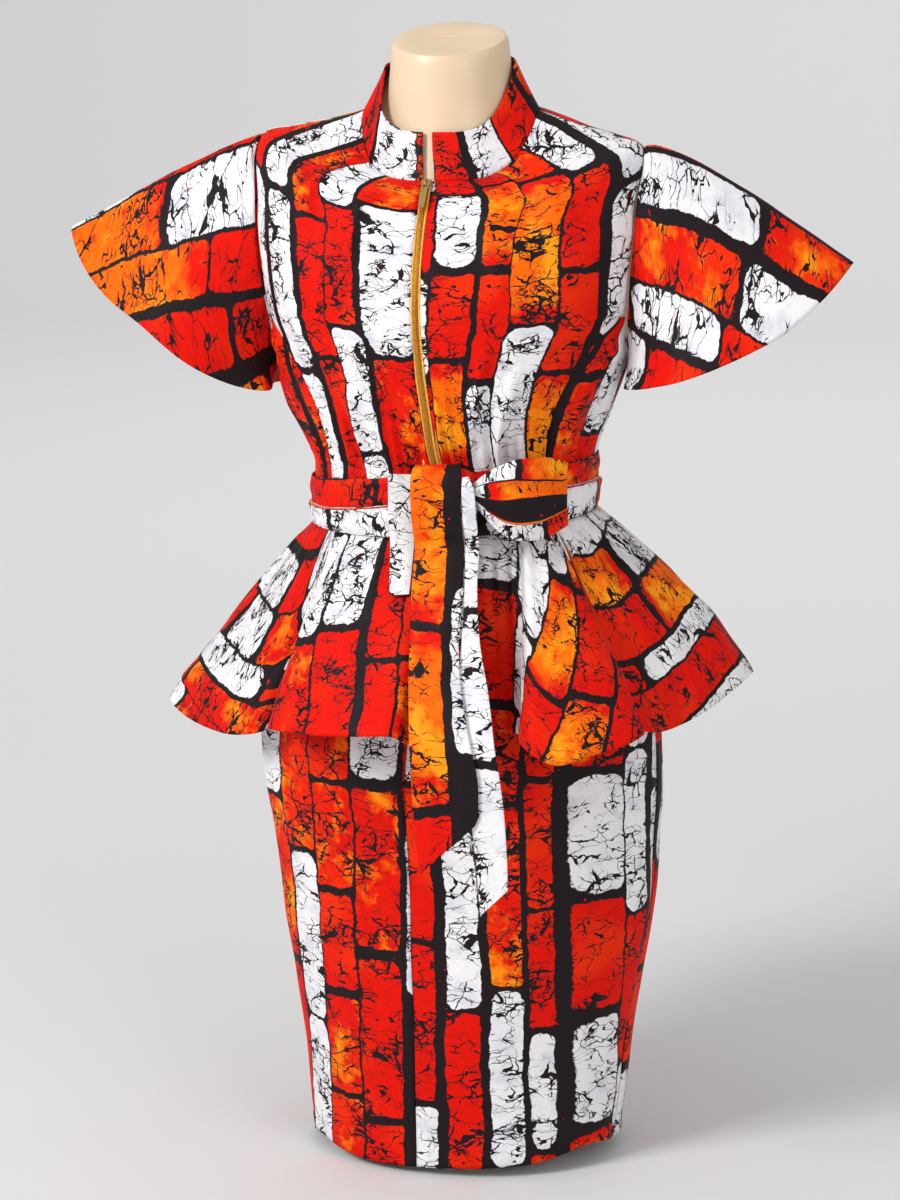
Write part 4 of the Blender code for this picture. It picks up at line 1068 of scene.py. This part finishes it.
# %% [markdown]
# The bow loop and the three hanging ends are ribbons. A ribbon is a path with a low and a high edge,
# and a slight crown across it.
# %% Bow loop and sash ends
# columns: x, y, low z, high z
LOOP = [
    (0.0500, -0.1400, 0.6860, 0.7040), (0.0620, -0.1440, 0.6720, 0.7140), (0.0800, -0.1450, 0.6560, 0.7240),
    (0.0980, -0.1390, 0.6500, 0.7290), (0.1160, -0.1280, 0.6510, 0.7290), (0.1300, -0.1140, 0.6580, 0.7240),
    (0.1345, -0.1060, 0.6610, 0.7210), (0.1290, -0.1020, 0.6620, 0.7200), (0.1140, -0.1060, 0.6600, 0.7180),
    (0.0960, -0.1140, 0.6620, 0.7160), (0.0780, -0.1210, 0.6680, 0.7120), (0.0620, -0.1270, 0.6780, 0.7080),
    (0.0500, -0.1310, 0.6860, 0.7030),
]
# Front line that the ends rest on: z, y
FRONT_LINE = [(0.25, -0.2350), (0.40, -0.2350), (0.465, -0.2350), (0.50, -0.2207), (0.53, -0.2040),
              (0.56, -0.1845), (0.58, -0.1704), (0.60, -0.1554), (0.615, -0.1435), (0.630, -0.1312),
              (0.645, -0.1212), (0.655, -0.1210), (0.72, -0.1210)]
# columns: z at one edge, z at the other, x of each edge, distance off the front line
TAIL_SHORT = [
    (0.7080, 0.7080, -0.0380, -0.0140, 0.0002), (0.6800, 0.6800, -0.0380, -0.0135, 0.0002),
    (0.6500, 0.6500, -0.0370, -0.0130, 0.0002), (0.6250, 0.6250, -0.0335, -0.0110, 0.0004),
    (0.5980, 0.5990, -0.0290, -0.0095, 0.0008),
]
TAIL_WIDE = [
    (0.7205, 0.7220, -0.0060, 0.0370, 0.0160), (0.7165, 0.7175, -0.0080, 0.0395, 0.0247),
    (0.7040, 0.7040, -0.0090, 0.0400, 0.0301), (0.6840, 0.6840, -0.0090, 0.0400, 0.0297),
    (0.6580, 0.6570, -0.0085, 0.0405, 0.0240), (0.6320, 0.6300, -0.0075, 0.0415, 0.0150),
    (0.6030, 0.6000, -0.0065, 0.0440, 0.0080), (0.5600, 0.5560, -0.0020, 0.0460, 0.0050),
    (0.5150, 0.5100, 0.0030, 0.0560, 0.0048), (0.4700, 0.4650, 0.0080, 0.0690, 0.0040),
    (0.4250, 0.4300, 0.0100, 0.0740, 0.0034), (0.3850, 0.4080, 0.0130, 0.0740, 0.0034),
    (0.3470, 0.3960, 0.0170, 0.0700, 0.0034),
]
TAIL_UNDER = [
    (0.7110, 0.7120, 0.0412, 0.0470, 0.0274), (0.6980, 0.6980, 0.0408, 0.0530, 0.0300),
    (0.6720, 0.6720, 0.0408, 0.0545, 0.0274), (0.6400, 0.6400, 0.0418, 0.0555, 0.0175),
    (0.6050, 0.6050, 0.0445, 0.0570, 0.0070), (0.5600, 0.5600, 0.0472, 0.0650, 0.0010),
    (0.5150, 0.5150, 0.0480, 0.0790, 0.0002), (0.4650, 0.4650, 0.0560, 0.0900, 0.0002),
    (0.4150, 0.4150, 0.0640, 0.0970, 0.0002), (0.3600, 0.3700, 0.0700, 0.1000, 0.0002),
    (0.3080, 0.3350, 0.0740, 0.1010, 0.0002),
]


# columns: place of the pleat across the loop, cloth that it hides (the print jumps by as much)
LOOP_PLEATS = [(0.24, 0.086), (0.50, -0.075), (0.74, 0.082)]
LOOP_CROWN, PLEAT_HEIGHT = 0.004, 0.0026
LOOP_FAR_END = 6
SASH_THICK = 0.0018


def sash_loop():
    u, v = np.broadcast_arrays(np.linspace(0, len(LOOP) - 1, 121)[:, None], np.linspace(0, 1, 65)[None, :])
    row = read(LOOP, u)
    pleats, skip = np.zeros(v.shape), np.zeros(v.shape)
    for place, hidden in LOOP_PLEATS:
        line = place + 0.03 * np.sin(u * 0.9 + 9 * place)
        ramp = np.clip(1 - (line - v) / 0.20, 0, 1)
        pleats += PLEAT_HEIGHT * ramp * (1 - step_up(v, line, line + 0.035))
        skip += hidden * step_up(v, line - 0.01, line + 0.03)
    pleats *= np.where(u < LOOP_FAR_END, 1, -1) * step_up(np.abs(u - LOOP_FAR_END), 0.3, 1.5)
    y = row[..., 1] - LOOP_CROWN * np.sin(pi * v) - pleats
    points = np.stack([row[..., 0], y, mix(row[..., 2], row[..., 3], v)], axis=-1)
    flat = flat_layout(points, 0.5)
    cut = (float(np.ptp(flat[..., 0])), float(np.ptp(flat[..., 1])))
    flat[..., 0] += skip
    cloth("cloth_sash_loop", points, flat, flip=True, offset=(12.619, 0.045),
          thick=SASH_THICK, cut=cut)


def tail(name, table, arch, folds, offset, shift):
    n = len(table) - 1
    u, v = np.broadcast_arrays(np.linspace(0, n, n * 16 + 1)[:, None], np.linspace(0, 1, 33)[None, :])
    row = read(table, u)
    z = mix(row[..., 0], row[..., 1], v)
    out = row[..., 4] + arch * np.sin(pi * v) * np.minimum(u / 3, 1)
    out = out + folds * np.sin(2 * pi * (1.5 * v + 0.15 * np.sin(u + shift))) * step_up(u, 0.5, 2.5)
    points = np.stack([mix(row[..., 2], row[..., 3], v), look(FRONT_LINE, z)[..., 1] - out, z], axis=-1)
    cloth(name, points, flat_layout(points, 0.5), flip=True, offset=offset,
          thick=SASH_THICK)


sash_loop()
tail("cloth_sash_tail_short", TAIL_SHORT, 0.0015, 0.0003, (12.882, 0.270), 0.2)
tail("cloth_sash_tail_wide", TAIL_WIDE, 0.0030, 0.0006, (12.660, 0.075), 1.2)
tail("cloth_sash_tail_under", TAIL_UNDER, 0.0010, 0.0003, (12.742, 0.260), 2.2)

# %% [markdown]
# The form shows only at the neck: a smooth cream cover with a flat top and a rounded rim. It is one
# turned body, so the same rings make it, closed to a point at both ends.
# %% Dress form
# columns: z, half width, front depth, back depth, sideways shift
FORM_HIPS = [
    (0.334, 0.120, 0.074, 0.080, 0.004), (0.336, 0.150, 0.094, 0.100, 0.004),
    (0.345, 0.175, 0.110, 0.114, 0.004), (0.362, 0.187, 0.118, 0.122, 0.004),
    (0.390, 0.191, 0.121, 0.126, 0.004), (0.430, 0.192, 0.121, 0.127, 0.003),
    (0.470, 0.188, 0.119, 0.125, 0.002), (0.510, 0.179, 0.116, 0.119, 0.001),
    (0.550, 0.167, 0.112, 0.112, 0.000), (0.585, 0.152, 0.107, 0.101, 0.000),
    (0.615, 0.1415, 0.1045, 0.0945, 0.000),
]
# columns: z at side, z at front, z at back, half width, front depth, back depth, oval power
FORM_NECK = [
    (1.0570, 0.9990, 1.0690, 0.0740, 0.0680, 0.0540, 2.0),
    (1.0720, 1.0200, 1.0840, 0.0625, 0.0605, 0.0490, 2.0),
    (1.0900, 1.0500, 1.1020, 0.0590, 0.0585, 0.0480, 2.0),
    (1.1070, 1.0850, 1.1200, 0.0575, 0.0580, 0.0490, 2.0),
    (1.1130, 1.0980, 1.1270, 0.0555, 0.0565, 0.0480, 2.0),
    (1.1160, 1.1015, 1.1295, 0.0515, 0.0525, 0.0440, 2.0),
    (1.1165, 1.1070, 1.1270, 0.0340, 0.0340, 0.0300, 2.0),
    (1.1165, 1.1130, 1.1210, 0.0120, 0.0120, 0.0110, 2.0),
    (1.1165, 1.1165, 1.1170, 0.0001, 0.0001, 0.0001, 2.0),
]
FORM_BOTTOM = FORM_HIPS[0][0]
BOTTOM_RADII = (0.0001, 0.05, 0.09)
# The form lies this far inside the dressed torso, before its ease
INSIDE = 0.0024


def form_rings():
    theta = np.linspace(0, 360, 161)
    for r in BOTTOM_RADII:
        yield ring([FORM_BOTTOM, FORM_BOTTOM, FORM_BOTTOM, r, r, r, 2.0], theta)
    for u in np.linspace(0, len(FORM_HIPS) - 1, 41):
        z, width, front, back, shift = read(FORM_HIPS, u)
        yield ring([z, z, z, width, front, back, 2.1], theta, shift)
    for t in np.linspace(0, 13, 79):
        ease = np.where(t <= 9, 0.0035, 0.0024 + 0.0011 * np.cos(np.radians(theta)) ** 2)
        yield torso_moved(theta, np.full(len(theta), t), -INSIDE - ease)
    for u in np.linspace(0, len(FORM_NECK) - 1, 65):
        level = min(max(u - 2, 0), 1)
        yield ring(read(FORM_NECK, u), theta, 0.0, lambda c: mix(neck_fall(c), c, level),
                   lambda c: mix(soft_fall(c), c, level))


def form_cover():
    made, net, shader = finish_material("form cover", (0.73, 0.55, 0.37, 1), 0.42)
    place = net.place()
    tone = net.spread(net.noise(place, 9.0, 3.0, 0.6), 0.3, 0.7)
    net.feed(shader.inputs["Base Color"], net.blend(tone, (0.70, 0.52, 0.34, 1), (0.76, 0.58, 0.40, 1)))
    net.feed(shader.inputs["Roughness"], net.spread(net.noise(place, 60.0, 2.0), 0.3, 0.7, 0.38, 0.48))
    net.bump(net.noise(place, 300.0, 2.0), 0.0004, 0.3, shader)
    return made


form_points = np.array(list(form_rings()))
form_mesh = grid_mesh("form_skin", form_points, flat_layout(form_points), closed=True)
put("form_skin", form_mesh, form_cover(), "form_body")
print("form", len(form_mesh.vertices), "points")

# %% [markdown]
# The stand hides in the skirt: a steel post and a round base. Both are turned shapes, so a profile is
# spun once round the upright axis.
# %% Stand


def metal(name, colour, rough, grain=120.0):
    made, net, shader = finish_material(name, colour, rough, 1.0)
    tone = net.noise(net.place(), grain, 3.0, 0.6)
    dim = tuple(c * 0.72 for c in colour[:3]) + (1,)
    net.feed(shader.inputs["Base Color"], net.blend(net.spread(tone, 0.35, 0.65), dim, colour))
    net.feed(shader.inputs["Roughness"], net.spread(tone, 0.3, 0.7, rough * 0.8, rough * 1.3))
    return made


STEEL = metal("brushed steel", (0.56, 0.56, 0.57, 1), 0.32)
GOLD = metal("zip gold", (0.72, 0.36, 0.05, 1), 0.30, 900.0)
BRASS = metal("slider brass", (0.62, 0.42, 0.15, 1), 0.26, 900.0)


def turned(name, profile, finish, node):
    bm = bmesh.new()
    verts = [bm.verts.new((r, 0, z)) for r, z in profile]
    edges = [bm.edges.new(pair) for pair in zip(verts, verts[1:])]
    bmesh.ops.spin(bm, geom=verts + edges, cent=(0, 0, 0), axis=(0, 0, 1), angle=2 * pi, steps=96,
                   use_merge=True)
    bmesh.ops.remove_doubles(bm, verts=bm.verts, dist=0.00002)
    bmesh.ops.recalc_face_normals(bm, faces=bm.faces)
    put(name, finished_mesh(name, bm, 35), finish, node)


# Profiles: radius, height. The post stands in the base's socket with a gap of 0.3 mm
POST_RADIUS, POST_BOTTOM, FIT_GAP = 0.0125, 0.0045, 0.0003
POST = [(0, POST_BOTTOM), (POST_RADIUS, POST_BOTTOM), (POST_RADIUS, FORM_BOTTOM), (0, FORM_BOTTOM)]
SOCKET_RADIUS, SOCKET_BOTTOM = POST_RADIUS + FIT_GAP, POST_BOTTOM - FIT_GAP
BASE = [(0, 0.0), (0.1045, 0.0), (0.105, 0.0006), (0.105, 0.0078), (0.1038, 0.0108), (0.101, 0.012),
        (0.022, 0.012), (0.019, 0.0136), (0.018, 0.0165), (0.0172, 0.018), (SOCKET_RADIUS, 0.018),
        (SOCKET_RADIUS, SOCKET_BOTTOM), (0, SOCKET_BOTTOM)]
turned("stand_post", POST, STEEL, "form_post")
turned("stand_base", BASE, STEEL, "form_base")
print("stand", 2 * BASE[2][0], "m across")

# %% [markdown]
# The half zip is a woven tape, a chain of interlocking metal teeth, a slider and a pull tab. Teeth are
# separate pieces of metal, so they are made one by one further on, after the tape.
# %% Zip tape and teeth


def tape_cloth():
    made, net, shader = finish_material("zip tape", (0.85, 0.44, 0.06, 1), 0.6)
    flat = net.flat_map()
    tone = net.spread(net.noise(flat, 300.0, 2.0), 0.3, 0.7)
    net.feed(shader.inputs["Base Color"], net.blend(tone, (0.78, 0.36, 0.035, 1), (0.92, 0.52, 0.09, 1)))
    net.bump(net.pattern(WEAVE, flat)["Height"], 0.0006, 1.0, shader)
    return made


TAPE_HALF, TAPE_COLUMNS, TAPE_DEPTH, TAPE_THICK = 0.0115, 54, 0.0022, 0.0009
# A raised rim runs along both sides of the teeth
RIM_AT, RIM_HALF, RIM_HEIGHT = 0.0038, 0.0010, 0.0021


def zip_tape():
    theta, t = panel_grid(np.linspace(0.3, 12.9, 160), lambda t: angle_at(zip_line(t) - TAPE_HALF, t),
                          lambda t: angle_at(zip_line(t) + TAPE_HALF, t), TAPE_COLUMNS)
    x = np.linspace(-TAPE_HALF, TAPE_HALF, TAPE_COLUMNS + 1)
    rim = RIM_HEIGHT * np.exp(-((np.abs(x) - RIM_AT) / RIM_HALF) ** 4)
    points = torso_moved(theta, t, np.broadcast_to(rim, t.shape) - TAPE_DEPTH)
    cloth("zip_tape_cloth", points, flat_layout(points, 0.5),
          node="zip_tape", thick=TAPE_THICK, finish=tape_cloth())


zip_tape()

# %% [markdown]
# Each tooth is a small bevelled block, turned to follow the zip's line and set a little to the left
# or the right in turn, so that the two rows mesh.
# %% Zip teeth
TEETH_DEPTH, PITCH = 0.0009, 0.00115
TOOTH = (0.0029, 0.00080, 0.0017)
TOOTH_ASIDE, TOOTH_BEVEL = 0.0009, 0.00018
LOOK_AHEAD = 0.001


def zip_teeth():
    t = np.linspace(0.35, 12.15, 1200)
    path = torso_moved(angle_at(zip_line(t), t), t, np.full(len(t), -TEETH_DEPTH))
    run = run_along(path)
    bm = bmesh.new()
    for i in range(int(run[-1] / PITCH)):
        at, ahead = (Vector([np.interp(s, run, path[:, k]) for k in range(3)])
                     for s in (i * PITCH, i * PITCH + LOOK_AHEAD))
        along = (ahead - at).normalized()
        out = Vector((1, 0, 0)).cross(along).normalized()
        if out.y > 0:
            out = -out
        across = along.cross(out)
        side = 1 if i % 2 else -1
        turned_to = Matrix((across, along, out)).transposed().to_4x4()
        place = Matrix.Translation(at + across * side * TOOTH_ASIDE)
        bmesh.ops.create_cube(bm, size=1.0, matrix=place @ turned_to @ Matrix.Diagonal((*TOOTH, 1)))
    bmesh.ops.bevel(bm, geom=list(bm.edges), offset=TOOTH_BEVEL, offset_type="OFFSET", segments=1,
                    profile=0.5, affect="EDGES", material=-1)
    bmesh.ops.recalc_face_normals(bm, faces=bm.faces)
    mesh = finished_mesh("zip_teeth", bm)
    put("zip_teeth", mesh, GOLD, "zip_chain")
    print("zip teeth", len(mesh.polygons), "faces")


zip_teeth()

# %% [markdown]
# The slider is a shaped block on the chain with a small bridge over it. The pull tab hooks under that
# bridge and is the one part that swings freely, so it rides on its own body.
# %% Slider and pull tab
SLIDER_ROW = np.array(12.3)
SLIDER_LIFT = 0.0007
# The slider's block, in its own frame: across, down the zip, out from the cloth
BLOCK_LOW, BLOCK_HIGH = (-0.0052, -0.0050, 0.0), (0.0052, 0.0062, 0.0022)
BLOCK_ROUND, BLOCK_TAPER = 0.0007, 0.70
BRIDGE_HALF, BRIDGE_STEPS, BRIDGE_THICK = 0.0012, 12, 0.0007
BRIDGE_FOOT = (0.0, -0.0036, 0.0018)
ARCH_MIDDLE, ARCH_REACH, ARCH_BASE, ARCH_RISE = 0.0001, 0.0037, 0.0024, 0.0032


def slider_seat():
    theta = angle_at(zip_line(SLIDER_ROW), SLIDER_ROW)
    at = Vector(torso(theta, SLIDER_ROW))
    out = (Vector(torso_moved(theta, SLIDER_ROW, np.array(1.0))) - at).normalized()
    down = Vector((1, 0, 0)).cross(out).normalized()
    if down.z > 0:
        down = -down
    across = down.cross(out).normalized()
    return Matrix.Translation(at + out * SLIDER_LIFT) @ Matrix((across, down, out)).transposed().to_4x4()


SEAT = slider_seat()


def seated(name, bm, node, body):
    bmesh.ops.transform(bm, matrix=SEAT, verts=bm.verts)
    bmesh.ops.recalc_face_normals(bm, faces=bm.faces)
    put(name, finished_mesh(name, bm, 40), BRASS, node, body)


def slider_block(bm):
    size = [b - a for a, b in zip(BLOCK_LOW, BLOCK_HIGH)]
    middle = [(a + b) / 2 for a, b in zip(BLOCK_LOW, BLOCK_HIGH)]
    place = Matrix.Translation(middle) @ Matrix.Diagonal((*size, 1))
    made = bmesh.ops.create_cube(bm, size=1.0, matrix=place)
    for vert in made["verts"]:
        if vert.co.y > middle[1]:
            vert.co.x *= BLOCK_TAPER
    bmesh.ops.bevel(bm, geom=list(bm.edges), offset=BLOCK_ROUND, offset_type="OFFSET", segments=3,
                    profile=0.5, affect="EDGES", material=-1)


def slider_bridge(bm):
    near = [bm.verts.new(BRIDGE_FOOT)]
    for k in range(1, BRIDGE_STEPS + 1):
        a = pi * k / BRIDGE_STEPS
        y, z = ARCH_MIDDLE - ARCH_REACH * cos(a), ARCH_BASE + ARCH_RISE * sin(a) ** 0.7
        near.append(bm.verts.new((0.0, y, z)))
    edges = [bm.edges.new(pair) for pair in zip(near, near[1:])]
    made = bmesh.ops.extrude_edge_only(bm, edges=edges)
    far = [g for g in made["geom"] if isinstance(g, bmesh.types.BMVert)]
    for vert in near:
        vert.co.x = -BRIDGE_HALF
    for vert in far:
        vert.co.x = BRIDGE_HALF
    faces = [f for f in bm.faces if all(v in near or v in far for v in f.verts)]
    bmesh.ops.recalc_face_normals(bm, faces=faces)
    bmesh.ops.solidify(bm, geom=faces, thickness=BRIDGE_THICK)


bm = bmesh.new()
slider_block(bm)
slider_bridge(bm)
seated("zip_slider_shaped", bm, "zip_slider", "dress")
print("slider at", [round(v, 4) for v in SEAT.translation])

# %% [markdown]
# The pull tab is a flat plate with a long window at its top, where the bridge passes through. Two
# circles are pulled into soft oblongs, bridged, and given their thickness.
# %% Pull tab
PULL_HEIGHT, PULL_THICK = 0.00365, 0.0010
# Half width, middle, half length, and how square the sides and ends are
PLATE = (0.0033, 0.0150, 0.0150, 0.6, 0.36)
WINDOW = (0.0019, 0.0037, 0.0028, 0.5, 0.5)


def soft_oblong(bm, half_width, middle, half_length, side_power, end_power):
    for vert in bmesh.ops.create_circle(bm, cap_ends=False, segments=32, radius=1.0)["verts"]:
        x, y = vert.co.x, vert.co.y
        vert.co = (half_width * abs(x) ** side_power * (1 if x > 0 else -1),
                   middle + half_length * abs(y) ** end_power * (1 if y > 0 else -1), PULL_HEIGHT)


bm = bmesh.new()
soft_oblong(bm, *PLATE)
soft_oblong(bm, *WINDOW)
bmesh.ops.bridge_loops(bm, edges=list(bm.edges))
bmesh.ops.recalc_face_normals(bm, faces=bm.faces)
bmesh.ops.solidify(bm, geom=list(bm.faces), thickness=PULL_THICK)
bmesh.ops.translate(bm, verts=bm.verts, vec=(0, 0, PULL_THICK / 2))
seated("zip_pull_tab", bm, "zip_pull", "pull_tab")
print("pull tab", 2 * PLATE[2], "m long")

# %% [markdown]
# A studio sweep: one pale sheet that runs along the floor and curves up behind, with painted shade on
# its floor near the front, large soft lights and an even grey surround.
# %% Floor and lights


HALF_WIDTH, FRONT_EDGE, CURVE_START, CURVE_RADIUS, SWEEP_TOP = 12.0, -9.0, 7.0, 2.2, 9.0


def paper_with_painted_shade():
    made, net, shader = finish_material("paper_with_painted_shade", (0.88, 0.88, 0.88, 1), 0.9)
    # Painted shade: the floor near the front is a darker grey (0.71), and the sheet lightens towards the back
    # and up the wall (0.89), which offsets the brighter pool of lamp light on the floor.
    depth = net.parts(net.place())[1]
    tone = net.blend(net.spread(depth, -0.8, 3.6), (0.71, 0.71, 0.71, 1), (0.89, 0.89, 0.89, 1))
    net.feed(shader.inputs["Base Color"], tone)
    return made


def sweep():
    profile = [(FRONT_EDGE, 0.0)]
    for a in range(0, 91, 6):
        profile.append((CURVE_START + CURVE_RADIUS * sin(radians(a)), CURVE_RADIUS * (1 - cos(radians(a)))))
    profile.append((CURVE_START + CURVE_RADIUS, SWEEP_TOP))
    bm = bmesh.new()
    verts = [bm.verts.new((-HALF_WIDTH, y, z)) for y, z in profile]
    edges = [bm.edges.new(pair) for pair in zip(verts, verts[1:])]
    made = bmesh.ops.extrude_edge_only(bm, edges=edges)
    for vert in made["geom"]:
        if isinstance(vert, bmesh.types.BMVert):
            vert.co.x = HALF_WIDTH
    bmesh.ops.recalc_face_normals(bm, faces=bm.faces)
    for face in bm.faces:
        face.smooth = True
    mesh = finished_mesh("studio_sweep", bm)
    mesh.materials.append(paper_with_painted_shade())
    in_scene("studio_sweep", mesh)


def soft_light(name, place, aim, size, power):
    data = bpy.data.lights.new(name, "AREA")
    data.shape = "RECTANGLE"
    data.size, data.size_y = size
    data.energy = power
    facing = (Vector(aim) - Vector(place)).to_track_quat("-Z", "Y")
    in_scene(name, data).matrix_world = Matrix.Translation(place) @ facing.to_matrix().to_4x4()


sweep()
soft_light("key", (-2.3, -2.6, 2.7), (0, 0, 0.65), (1.3, 1.3), 122)
soft_light("fill", (2.6, -2.6, 1.6), (0, 0, 0.6), (2.0, 2.0), 34)
soft_light("backdrop", (0.0, 4.2, 4.6), (0, 7.4, 0.0), (6.0, 1.6), 66)
soft_light("top", (0.0, 0.2, 3.6), (0, 0, 0.4), (2.6, 2.6), 5)
world = bpy.data.worlds.new("studio")
world.use_nodes = True
world.node_tree.nodes["Background"].inputs["Color"].default_value = (1, 1, 1, 1)
world.node_tree.nodes["Background"].inputs["Strength"].default_value = 0.52
bpy.context.scene.world = world
bpy.context.scene.view_settings.view_transform = "Standard"
print("four soft lights and an even surround")

# %% [markdown]
# The camera stands a little to the wearer's left and looks slightly down. A long lens from well back
# keeps the dress's upright lines nearly parallel.
# %% Camera
YAW, PITCH_DOWN, ROLL = radians(13), radians(11.5), radians(0.6)
DISTANCE, EYE_HEIGHT, ASIDE = 3.2, 1.213, 0.006
FOCAL_LENGTH = 98.1
right = Vector((cos(YAW), sin(YAW), 0))
ahead = Vector((-sin(YAW) * cos(PITCH_DOWN), cos(YAW) * cos(PITCH_DOWN), -sin(PITCH_DOWN)))
up = right.cross(ahead)
eye = Vector((DISTANCE * sin(YAW), -DISTANCE * cos(YAW), EYE_HEIGHT)) - right * ASIDE
tilted_right = right * cos(ROLL) - up * sin(ROLL)
tilted_up = right * sin(ROLL) + up * cos(ROLL)
lens = bpy.data.cameras.new("camera")
lens.lens = FOCAL_LENGTH
lens.sensor_width = 36.0
lens.clip_end = 50
camera = in_scene("camera", lens)
facing = Matrix((tilted_right, tilted_up, -ahead)).transposed().to_4x4()
camera.matrix_world = Matrix.Translation(eye) @ facing
bpy.context.scene.camera = camera
print("camera", DISTANCE, "m away")
